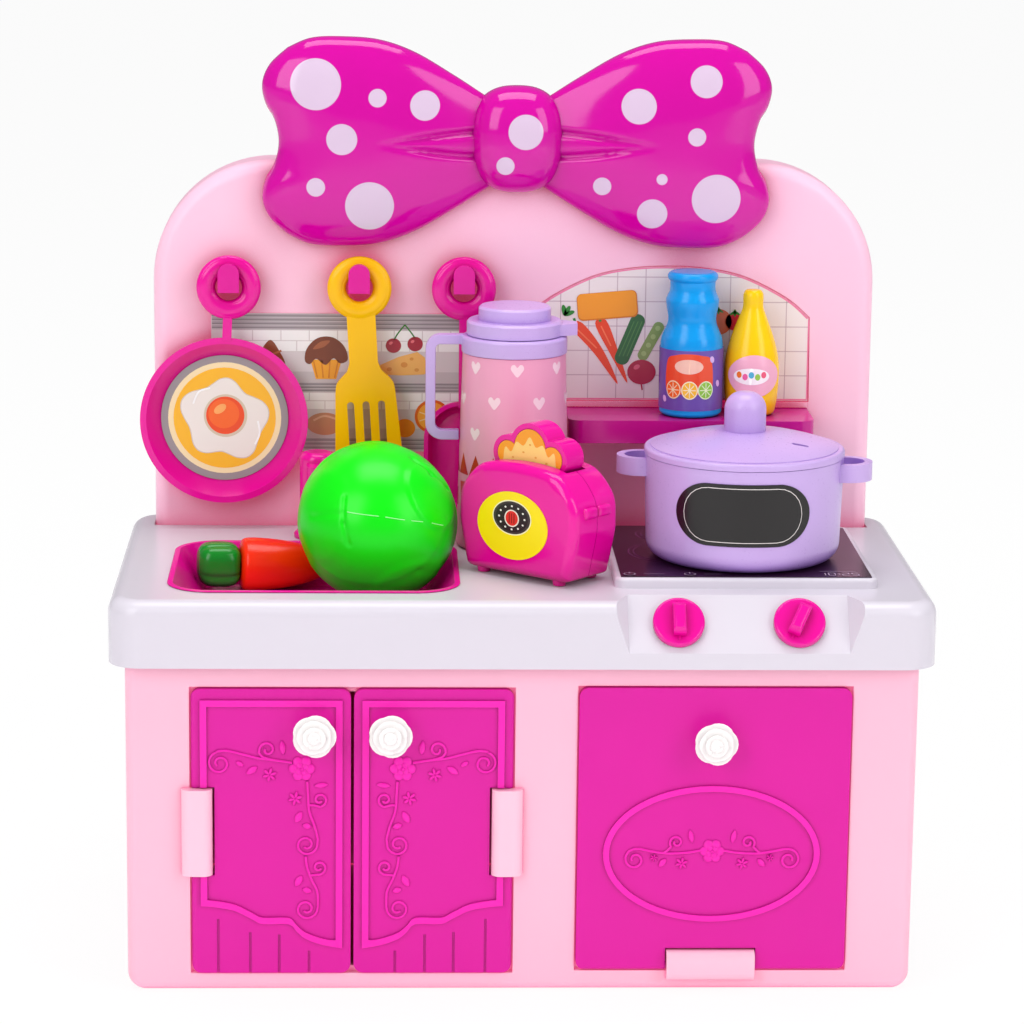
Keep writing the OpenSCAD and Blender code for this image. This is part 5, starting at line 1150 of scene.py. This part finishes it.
# The muffin's paper case, then its chocolate top with a lighter gleam.
art.level = 3
art.shape([(-71.5, 192.5), (-60.5, 192.5), (-62.4, 185.6), (-69.6, 185.6)], "#F2A21C", 1)
art.level = 4
for i in range(4):
    art.line([(-70.4 + 2.9 * i, 192.2), (-69.0 + 2.0 * i, 186.0)], 0.5, "#D97F10", 1)
art.shape([(-73.4, 192.2), (-72.6, 196.6), (-68.8, 200.2), (-63.6, 200.4), (-59.6, 197.2), (-58.4, 192.6),
    (-61.0, 191.2), (-63.4, 193.0), (-66.2, 190.6), (-69.4, 192.8), (-71.6, 190.9)], "#7A3A22")
art.level = 5
art.shape([(-70.6, 196.2), (-68.0, 198.8), (-64.6, 199.2), (-66.8, 197.0)], "#A45A38")
# A chocolate cone with wavy stripes.
art.level = 3
art.shape([(-90.0, 186.0), (-91.6, 191.0), (-88.6, 196.0), (-85.4, 199.4), (-82.4, 195.6), (-80.2, 190.6),
    (-82.4, 186.2)], "#8E4A30")
art.level = 4
for z in (189.0, 192.4, 195.6):
    art.line([(-89.6, z), (-85.6, z - 1.3), (-81.6, z)], 0.7, "#B36A44")
# A wedge of cheese with holes, and two cherries on their stalks.
art.level = 3
art.shape([(-47.6, 187.4), (-31.6, 187.4), (-30.6, 190.6), (-34.0, 195.4), (-46.8, 190.8)], "#F4B45E", 2)
art.level = 4
for u, v, r in ((-43.8, 189.2, 0.9), (-38.6, 190.8, 1.2), (-34.2, 189.0, 0.8), (-36.0, 192.9, 0.7)):
    art.spot(u, v, r, r * 0.8, "#DD8F38")
art.line([(-38.4, 205.0), (-40.8, 202.0), (-42.2, 199.6)], 0.5, "#3E7A2E")
art.line([(-38.4, 205.0), (-36.2, 202.2), (-34.8, 200.2)], 0.5, "#3E7A2E")
for u, v in ((-42.4, 197.6), (-34.8, 198.2)):
    art.level = 4
    art.spot(u, v, 2.7, 2.6, "#A81A34")
    art.level = 5
    art.spot(u - 0.9, v + 0.9, 0.7, 0.5, "#E56A78", 30)
# A bun on the lower ledge, then a halved orange with its segments and a whole one.
art.level = 3
art.spot(-66.4, 169.6, 6.4, 4.0, "#C88468")
art.level = 4
art.line([(-70.4, 170.8), (-66.6, 172.4), (-62.6, 171.4)], 0.7, "#E3AC92")
ORANGE = Vector((-28.6, 172.4))
art.level = 3
art.spot(*ORANGE, 6.2, 6.0, "#E2611C")
art.level = 4
art.spot(*ORANGE, 5.2, 5.0, "#F7A63C")
art.level = 5
for i in range(9):
    rim = ORANGE + Vector((4.8 * math.cos(0.7 * i), 4.6 * math.sin(0.7 * i)))
    art.line([ORANGE, rim], 0.35, "#FBD79A", 1)
art.level = 3
art.spot(-38.2, 168.2, 3.6, 3.3, "#EE8A20")
art.close("shelf_art", upright(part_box("shelf_print")[0][1] / MM), "cabinet")

# %% [markdown]
# ### The tiled arch behind the shelf
# Square wall tiles with thin joints, an orange board, and vegetables: two long peppers, a courgette, a bean
# pod, a beetroot, two tomatoes and a few green leaves.

# %% Tile print
ARCH = [(-50, 29), (-41.5, 36.2), (-27, 43.6), (-14, 46.6), (0, 47.4), (14, 46.6), (27, 43.6), (41.5, 36.2),
    (49.4, 29.4)]
ARCH_FOOT = 29
TILE_MIDDLE, TILE_BASE = 54, 178.6
JOINT_X, JOINT_X_PITCH, JOINT_Z, JOINT_Z_PITCH, JOINT_WIDE = 16.1, 9.93, 187.5, 8.7, 0.32
JOINT_GREY, ARCH_PINK, LEAF_INK = "#CDB6BF", "#F386AE", "#2F8A34"


def arch_top(x):
    """The height of the arch over a place on the shelf."""
    curve = [along(ARCH, i / 120) for i in range(121)]
    return TILE_BASE + min(curve, key=lambda p: abs(p.x - (x - TILE_MIDDLE))).y


art = Print()
low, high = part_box("tile_print")
west, east = low[0] / MM + 0.4, high[0] / MM - 0.4
for i in range(9):
    x = JOINT_X + JOINT_X_PITCH * i
    art.line([(x, TILE_BASE + 0.2), (x, arch_top(x) - 0.4)], JOINT_WIDE, JOINT_GREY, 1)
for i in range(5):
    z = JOINT_Z + JOINT_Z_PITCH * i
    span = [x for x in (west + (east - west) * k / 200 for k in range(201)) if arch_top(x) > z + 0.4]
    art.line([(span[0], z), (span[-1], z)], JOINT_WIDE, JOINT_GREY, 1)
art.level = 2
edge = [Vector(p) + Vector((TILE_MIDDLE, TILE_BASE)) for p in ARCH]
edge = [along(edge, i / 60) for i in range(61)]
edge = [p + (Vector((TILE_MIDDLE, TILE_BASE + 10)) - p).normalized() * 0.35 for p in edge]
art.line(edge, 0.55, ARCH_PINK, 1)
for x in (west - 0.1, east + 0.1):
    art.line([(x, TILE_BASE + 0.3), (x, TILE_BASE + ARCH_FOOT)], 0.5, ARCH_PINK, 1)
art.line([(west, TILE_BASE + 0.4), (east, TILE_BASE + 0.4)], 0.5, ARCH_PINK, 1)
# Two long red peppers with green stalks.
art.level = 3
for top, mid_way, tip, half in (((21.6, 205.4), (29.6, 196.0), (36.6, 184.2), 2.1),
    ((30.2, 206.4), (34.6, 196.8), (40.0, 184.6), 1.9)):
    top, mid_way, tip = Vector(top), Vector(mid_way), Vector(tip)
    art.shape([top + Vector((-half, -0.6)), top + Vector((half, 0.6)), mid_way + Vector((half * 0.9, 0)), tip,
        mid_way - Vector((half * 0.8, 0.6))], "#F0431C")
    art.level += 1
    art.line([top + Vector((0.2, -1.5)), mid_way + Vector((-0.6, 1.0))], 0.5, "#FF7A4C")
    art.line([top, top + Vector((-0.8, 2.2))], 0.9, LEAF_INK)
# A courgette with pale stripes, and a bean pod with four beans.
art.level = 5
art.block(40.6, 200.2, 19.0, 5.2, "#2C6A38", 2.5, 68)
art.block(48.0, 199.6, 15.0, 3.9, "#8CA860", 1.9, 62)
art.level = 6
for k in (-1.4, 0, 1.4):
    art.line([(38.3 + k, 194.2), (43.4 + k, 206.6)], 0.3, "#4E8F4A", 1)
for i in range(4):
    art.spot(45.6 + 1.6 * i, 195.2 + 3.0 * i, 0.9, 0.9, "#A9C47C")
# A beetroot with its gleam and root, and two tomatoes with their leaves.
art.level = 7
art.spot(44.9, 188.6, 5.0, 4.4, "#B51A44")
art.spot(71.6, 206.6, 4.8, 4.6, "#EC6A3E")
art.spot(77.4, 206.8, 3.3, 3.2, "#D8203C")
art.level = 8
art.spot(43.2, 190.4, 1.2, 0.8, "#E0647E", 30)
art.line([(44.9, 184.4), (45.3, 182.2)], 0.5, "#B51A44", 1)
for u, v in ((71.6, 210.6), (77.4, 209.8)):
    for turn in (-60, 0, 60):
        art.spot(u + 0.7 * math.sin(math.radians(turn)), v, 0.45, 1.3, LEAF_INK, turn)
# Three leaves fanned out beside the first pepper.
for turn in (20, 60, 100):
    art.spot(17.6 + 1.6 * math.cos(math.radians(turn)), 208.8 + 1.6 * math.sin(math.radians(turn)), 2.0, 0.8,
        LEAF_INK, turn)
# The board, with a darker edge below.
art.level = 9
art.block(32.5, 212.2, 21.2, 9.6, "#DD7A12", 1.9, 5)
art.level = 10
art.block(32.4, 212.4, 20.6, 9.0, "#F79C22", 1.7, 5)
art.close("tile_art", upright(low[1] / MM), "cabinet")

# %% [markdown]
# ### Fried egg, dial and hob
# The pan has a fried egg on a ringed plate, the toaster a dial, and the hob its rings and a clock in plain
# seven-segment figures, as on a glass hob.

# %% Egg, dial and hob
egg_low, egg_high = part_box("egg_sticker")
EGG = Vector(((egg_low[0] + egg_high[0]) / 2, 0, (egg_low[2] + egg_high[2]) / 2)) / MM


def egg_white(grow):
    """The wavy outline of the egg's white, larger by `grow` all round."""
    outline = []
    for i in range(30):
        a = i * math.pi / 15
        wave = grow + 1.5 * math.sin(5 * a + 0.4) + 1.2 * math.sin(2 * a + 2.2)
        outline.append(((13.4 + wave) * math.cos(a), (14.0 + wave) * math.sin(a) - 0.4))
    return outline


art = Print()
# The plate's rings, the white with a fine shadow, then the yolk with its lights.
art.spot(0, 0, 19.8, 19.8, "#F8E4B4")
art.level = 2
art.spot(0, 0, 17.9, 17.9, "#FBBB22")
art.level = 3
art.shape(egg_white(0.35), "#D8CCC2", 3)
art.level = 4
art.shape(egg_white(0.0), "#EFE8E2", 3)
art.level = 5
art.spot(0.3, 0.8, 7.6, 7.6, "#D6C6AE")
art.level = 6
art.spot(0.2, 0.9, 6.7, 6.7, "#F04A14")
art.level = 7
art.spot(-0.3, 1.5, 5.4, 5.2, "#F8661C")
art.level = 8
art.spot(-1.6, 3.2, 2.4, 1.4, "#FDAA5E", 35)
art.line([(11.6, -1.0), (12.2, -5.4), (10.6, -9.4)], 0.7, "#FFFFFF")
art.line([(-11.0, 5.0), (-9.0, 9.2), (-5.0, 10.6)], 0.6, "#FFFFFF")
art.close("egg_art", lambda u, v, lift: (EGG.x + u, egg_low[1] / MM - lift, EGG.z + v), "pan")

# The toaster's yellow oval is a thin disc that is stretched, then set on the toaster's front.
OVAL_HALF, OVAL_THICK, OVAL_AT, OVAL_DEPTH = (14.8, 11.4), 0.3, (-0.8, 18.2), -12.35
bm = bmesh.new()
bmesh.ops.create_cone(bm, cap_ends=True, segments=72, radius1=1, radius2=1, depth=1,
    matrix=Matrix.Diagonal((*OVAL_HALF, OVAL_THICK, 1)))
for vert in bm.verts:
    u, v, lift = vert.co
    vert.co = Vector(on_toaster(u + OVAL_AT[0], OVAL_DEPTH - lift, v + OVAL_AT[1])) * MM
bmesh.ops.recalc_face_normals(bm, faces=bm.faces)
finish_piece("toaster_oval", bm, ink(DIAL_YELLOW), "toaster", ["toaster_sticker"],
    weighted=False)

# The dial lies on the oval: a dark ring with twelve pale marks round a red button.
DIAL_U, DIAL_V, BUTTON_V, DIAL_DEPTH = -0.9, 20.9, 20.7, -12.5
art = Print()
art.spot(DIAL_U, DIAL_V, 8.2, 5.9, "#FFF6C8")
art.level = 2
art.spot(DIAL_U, DIAL_V, 7.8, 5.5, "#3A3432")
art.level = 3
art.spot(DIAL_U, DIAL_V, 6.8, 4.8, "#1C1817")
art.level = 4
art.spot(DIAL_U, BUTTON_V, 3.1, 2.9, "#F2E6D8")
for i in range(12):
    a = i * math.pi / 6
    art.spot(DIAL_U + 5.4 * math.cos(a), DIAL_V + 3.9 * math.sin(a), 0.4, 0.32, "#F6F2EA")
art.level = 5
art.spot(DIAL_U, BUTTON_V, 2.6, 2.5, "#E22A1C")
art.level = 6
for u in (-1.9, -0.9, 0.1):
    art.block(u, BUTTON_V, 0.4, 3.4, "#8E120C", 0.15)
art.close("toaster_dial", lambda u, v, lift: on_toaster(u, DIAL_DEPTH - lift, v), "toaster")

# The crumb of the toast, inside its orange crust.
CRUMB_DEPTH, CRUMB_UP = -4.7, 6
art = Print()
art.shape([(-10.6, 24), (-11.0, 33), (-10.2, 36.6), (-7.8, 35.2), (-5.6, 38.8), (-2.6, 37.8), (0, 41.0),
    (2.6, 37.8), (5.6, 38.8), (7.8, 35.2), (10.2, 36.8), (11.0, 33), (10.6, 24)], "#FCD478", 4)
art.level = 2
for u, v in ((-7, 33.4), (-2.6, 35.6), (2.6, 34.4), (7.2, 33.0), (0.2, 38.4), (-8.6, 29.4), (-3.6, 30.6),
    (4.6, 30.2)):
    art.spot(u, v, 0.5, 0.34, "#E9A848")
art.close("toast_crumb", lambda u, v, lift: on_toaster(u, CRUMB_DEPTH - lift, v + CRUMB_UP), "toast")

# Figures are built of up to seven strokes, each from one corner of a unit box to another.
SEGMENTS = {"0": "abcdef", "1": "bc", "2": "abged", "5": "afgcd"}
STROKES = {"a": (0, 1, 1, 1), "b": (1, 0.5, 1, 1), "c": (1, 0, 1, 0.5), "d": (0, 0, 1, 0),
    "e": (0, 0, 0, 0.5), "f": (0, 0.5, 0, 1), "g": (0, 0.5, 1, 0.5)}
FIGURE_WIDE, FIGURE_HIGH, FIGURE_PITCH, STROKE = 2.1, 3.6, 1.55, 0.38
CLOCK_GREY, BUTTON_GREY, SLIDER_GREY = "#B7A2B8", "#9C889E", "#7E6A84"
FRONT_ROW, CLOCK_ROW = -43.6, -45.0
# The rings of the hob by place and radius: two large ones for pots, two small ones for warming.
HOB_RINGS = ((54.0, -10.0, 17.0), (90.0, 13.0, 14.0), (52.0, 18.0, 10.5), (92.0, -20.0, 11.0))


def figures(art, text, u, v, colour):
    """Plain figures with their lower left corner at (u, v)."""
    for i, figure in enumerate(text):
        at = u + i * FIGURE_WIDE * FIGURE_PITCH
        for stroke in SEGMENTS[figure]:
            x0, y0, x1, y1 = STROKES[stroke]
            start = (at + FIGURE_WIDE * x0, v + FIGURE_HIGH * y0)
            art.line([start, (at + FIGURE_WIDE * x1, v + FIGURE_HIGH * y1)], STROKE, colour, 1)


art = Print()
for x, y, r in HOB_RINGS:
    art.level = 1
    for inset in (0, 1.7):
        art.spot(x, y, r - inset, r - inset, "#6C2A68")
        art.level += 1
        art.spot(x, y, r - inset - 0.5, r - inset - 0.5, HOB_GLASS)
        art.level += 1
art.level = 6
figures(art, "10", 98.2, CLOCK_ROW, CLOCK_GREY)
figures(art, "25", 106.0, CLOCK_ROW, CLOCK_GREY)
for v in (-43.9, -42.4):
    art.spot(104.9, v, 0.25, 0.25, CLOCK_GREY)
art.block(104.8, -39.2, 12.0, 0.4, "#8E7A92")
# Two round buttons with an upright stroke, and a short slider to the right of each.
for x in (35.4, 55.4):
    art.spot(x, FRONT_ROW, 2.0, 2.0, BUTTON_GREY)
    art.level = 7
    art.spot(x, FRONT_ROW, 1.6, 1.6, HOB_GLASS)
    art.level = 8
    art.line([(x, -43.4), (x, -41.2)], 0.4, BUTTON_GREY, 1)
    art.level = 6
for start, end in ((60.0, 66.0), (40.0, 47.0)):
    art.line([(start, FRONT_ROW), (end, FRONT_ROW)], 0.4, SLIDER_GREY, 1)
hob_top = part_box("hob_sticker")[1][2] / MM
art.close("hob_art", lambda u, v, lift: (u, v, hob_top + lift), "cabinet")

# %% [markdown]
# ### Labels round the bottles, pot and jug
# Round walls need bent labels. The pot has a dark capsule with a fine white line, the blue bottle a purple
# band with a fruit patch, the yellow one a pink oval, and the jug pale hearts over red flags.

# %% Labels
# The walls that carry them: the axis in the plan, the turn of the print in degrees, and the wall's radius.
# The pot and the jug change their radius evenly, from the one at the foot, over the height that is named.
POT_AXIS, POT_TURN = (75.4, -14.5), -6
POT_FOOT_R, POT_FLARE, POT_FOOT_Z, POT_HIGH = 33.0, 0.8, 142.9, 29
BLUE_AXIS, BLUE_WALL_R, BLUE_TURN = (61.3, 35.6), 11.2, -9
YELLOW_AXIS, YELLOW_WALL_R, YELLOW_TURN = (82.6, 36.9), 9.95, -6
JUG_AXIS = (-1.1, 18.0)
JUG_FOOT_R, JUG_TAPER, JUG_FOOT_Z, JUG_HIGH = 19.5, 1.8, 133.2, 67.5


def pot_wall(z):
    return POT_FOOT_R + POT_FLARE * (z - POT_FOOT_Z) / POT_HIGH


def jug_wall(z):
    return JUG_FOOT_R - JUG_TAPER * (z - JUG_FOOT_Z) / JUG_HIGH


# The pot's dark capsule, with a fine white line close to its edge.
CAPSULE_Z = 157.2
art = Print()
art.block(0, CAPSULE_Z, 41.6, 18.4, "#E9E2E0", 9.1)
art.level = 2
art.block(0, CAPSULE_Z, 41.12, 17.92, POT_BLACK, 8.86)
art.close("pot_label_line", round_wall(*POT_AXIS, pot_wall, POT_TURN), "pot",
    [u / 2 for u in range(-42, 43, 3)])

# The blue bottle's red patch with a pale oval, three fruit slices and a few drops.
SLICE_Z = 186.2
art = Print()
art.shape([(-8.8, 186.0), (-8.4, 196.2), (-4.4, 198.4), (0, 198.9), (4.4, 198.4), (8.4, 196.4), (8.8, 186.0),
    (4.4, 184.8), (-4.4, 184.8)], "#EE4E28")
art.level = 2
art.spot(0, 194.4, 5.1, 2.55, "#F9C8B4")
for u, rim, fill in ((-5.6, "#FBE3B8", "#F5661E"), (0.4, "#FFF3CC", "#FBC02C"), (6.2, "#E9F5C8", "#8CCB3A")):
    art.level = 3
    art.spot(u, SLICE_Z, 2.9, 3.2, rim)
    art.level = 4
    art.spot(u, SLICE_Z, 2.5, 2.8, fill)
    art.level = 5
    for turn in range(0, 180, 45):
        x, y = 2.2 * math.cos(math.radians(turn)), 2.5 * math.sin(math.radians(turn))
        art.line([(u - x, SLICE_Z - y), (u + x, SLICE_Z + y)], 0.3, rim, 1)
art.level = 2
for u, v in ((8.6, 196.8), (-9.6, 182.6), (11.6, 188.2)):
    art.spot(u, v, 0.9, 1.2, "#D9B8EC", 20)
art.close("blue_bottle_art", round_wall(*BLUE_AXIS, lambda z: BLUE_WALL_R, BLUE_TURN), "blue_bottle_body",
    range(-13, 14))

# The yellow bottle's pale oval with five sweets in a wavy row.
art = Print()
art.spot(0, 190.7, 6.6, 2.9, "#FFF4F8")
art.level = 2
for i, colour in enumerate(("#F07A2A", "#EF5AA0", "#58B8D8", "#9ACB4A", "#EF5A7A")):
    art.spot(-4.4 + 2.2 * i, 190.9 + 0.35 * (-1) ** i, 0.95, 1.15, colour)
art.close("yellow_bottle_art", round_wall(*YELLOW_AXIS, lambda z: YELLOW_WALL_R, YELLOW_TURN),
    "yellow_bottle_body", range(-8, 9))


# Hearts all round the jug in three shifted rows, over red flags and blocks at its foot.
HEART_HALF = [(0, -1), (0.62, -0.36), (0.98, 0.22), (0.82, 0.74), (0.4, 0.84), (0, 0.44)]
HEART_ROWS, HEART_PITCH, HEART_SIZE = (197.0, 185.6, 174.2), 15.8, 2.3
FLAG_PITCH, FLAG_FOOT_Z, FLAG_TIP_Z = 7.2, 159.4, 166.8
PRINT_START = -47


def heart(art, u, v, size, colour):
    """A heart from the points of its right half, which its left half mirrors."""
    outline = HEART_HALF + [(-x, y) for x, y in HEART_HALF[-2:0:-1]]
    art.shape([(u + size * x, v + size * y) for x, y in outline], colour)


art = Print()
for k in range(7):
    for row, z in enumerate(HEART_ROWS):
        shift = HEART_PITCH / 2 if row % 2 else 0
        heart(art, PRINT_START + HEART_PITCH * k + shift, z, HEART_SIZE, "#FBD6E4")
art.level = 2
for k in range(14):
    u = PRINT_START + FLAG_PITCH * k
    art.shape([(u, FLAG_FOOT_Z), (u + 3.4, FLAG_TIP_Z), (u + 6.8, FLAG_FOOT_Z)], "#C02622", 1)
    art.block(u + 3.4, 150.6 + (k % 2) * 3, 4.2, 6.4, "#C8322A", 0.3, 6)
art.close("jug_hearts", round_wall(*JUG_AXIS, jug_wall), "jug", range(-54, 57, 2))

# %% [markdown]
# ## Studio
# A white sweep, a broad soft light from each side of the camera and one from above. What the camera sees of
# the floor is mostly a plain white, with a faint shadow of the toy on it. The room is dimmer in reflections,
# as a studio is beside its lamps, which keeps the colours full and the highlights clear.

# %% Floor and lights
FIBRE_MM = 0.9
WHITE_SHARE = 0.92
FLOOR_HALF_M, FLOOR_GAP_M = 12, 0.0002
floor_material, tree = new_material("white_paper_sweep")
coords = add(tree, "ShaderNodeTexCoord")
fibre = add(tree, "ShaderNodeTexNoise", values={"Scale": 1 / (FIBRE_MM * MM), "Detail": 2.0},
    links={"Vector": coords.outputs["Object"]})
paper_tone = add(tree, "ShaderNodeMix", settings={"data_type": "RGBA"},
    values={"A": linear("#FAFAFA"), "B": linear("#FFFFFF")}, links={"Factor": fibre.outputs["Fac"]})
paper = add(tree, "ShaderNodeBsdfDiffuse", links={"Color": paper_tone.outputs[2]})
white = add(tree, "ShaderNodeEmission", values={"Color": (1, 1, 1, 1), "Strength": 1.0})
path = add(tree, "ShaderNodeLightPath")
share = add(tree, "ShaderNodeMath", settings={"operation": "MULTIPLY"}, values={1: WHITE_SHARE},
    links={0: path.outputs["Is Camera Ray"]})
close_material(floor_material, add(tree, "ShaderNodeMixShader",
    links={0: share.outputs[0], 1: paper.outputs[0], 2: white.outputs[0]}))

bm = bmesh.new()
bmesh.ops.create_grid(bm, x_segments=1, y_segments=1, size=FLOOR_HALF_M)
bmesh.ops.translate(bm, vec=(0, 0, -FLOOR_GAP_M), verts=bm.verts)
floor_mesh = bpy.data.meshes.new("paper_floor")
bm.to_mesh(floor_mesh)
bm.free()
floor_mesh.materials.append(floor_material)
show("paper_floor", floor_mesh)

# Each softbox: its place and size in metres, and its power in watts.
AIM = Vector((0, 0, 0.15))
for name, place, size, watts in [
    ("left_softbox", (-1.05, -1.3, 1.0), (0.8, 1.3), 10.6),
    ("right_softbox", (1.2, -1.15, 0.9), (0.7, 1.3), 8.6),
    ("top_softbox", (0.0, 0.0, 1.8), (1.3, 0.9), 15.0),
]:
    light = bpy.data.lights.new(name, "AREA")
    light.shape = "RECTANGLE"
    light.size, light.size_y = size
    light.energy = watts
    lamp = show(name, light)
    lamp.location = place
    lamp.rotation_euler = (AIM - Vector(place)).to_track_quat("-Z", "Y").to_euler()

ROOM_LIGHT, ROOM_IN_GLOSS, ROOM_SEEN = 0.52, 0.2, 1.0
world = bpy.data.worlds.new("soft_room")
bpy.context.scene.world = world
world.use_nodes = True
tree = world.node_tree
tree.nodes.clear()
room, mirrored, seen = [
    add(tree, "ShaderNodeBackground", values={"Color": (1, 1, 1, 1), "Strength": strength})
    for strength in (ROOM_LIGHT, ROOM_IN_GLOSS, ROOM_SEEN)]
path = add(tree, "ShaderNodeLightPath")
gloss_pick = add(tree, "ShaderNodeMixShader",
    links={0: path.outputs["Is Glossy Ray"], 1: room.outputs[0], 2: mirrored.outputs[0]})
pick = add(tree, "ShaderNodeMixShader",
    links={0: path.outputs["Is Camera Ray"], 1: gloss_pick.outputs[0], 2: seen.outputs[0]})
add(tree, "ShaderNodeOutputWorld", links={"Surface": pick.outputs[0]})
bpy.context.scene.view_settings.view_transform = "Standard"
print("lamps:", len(bpy.data.lights))
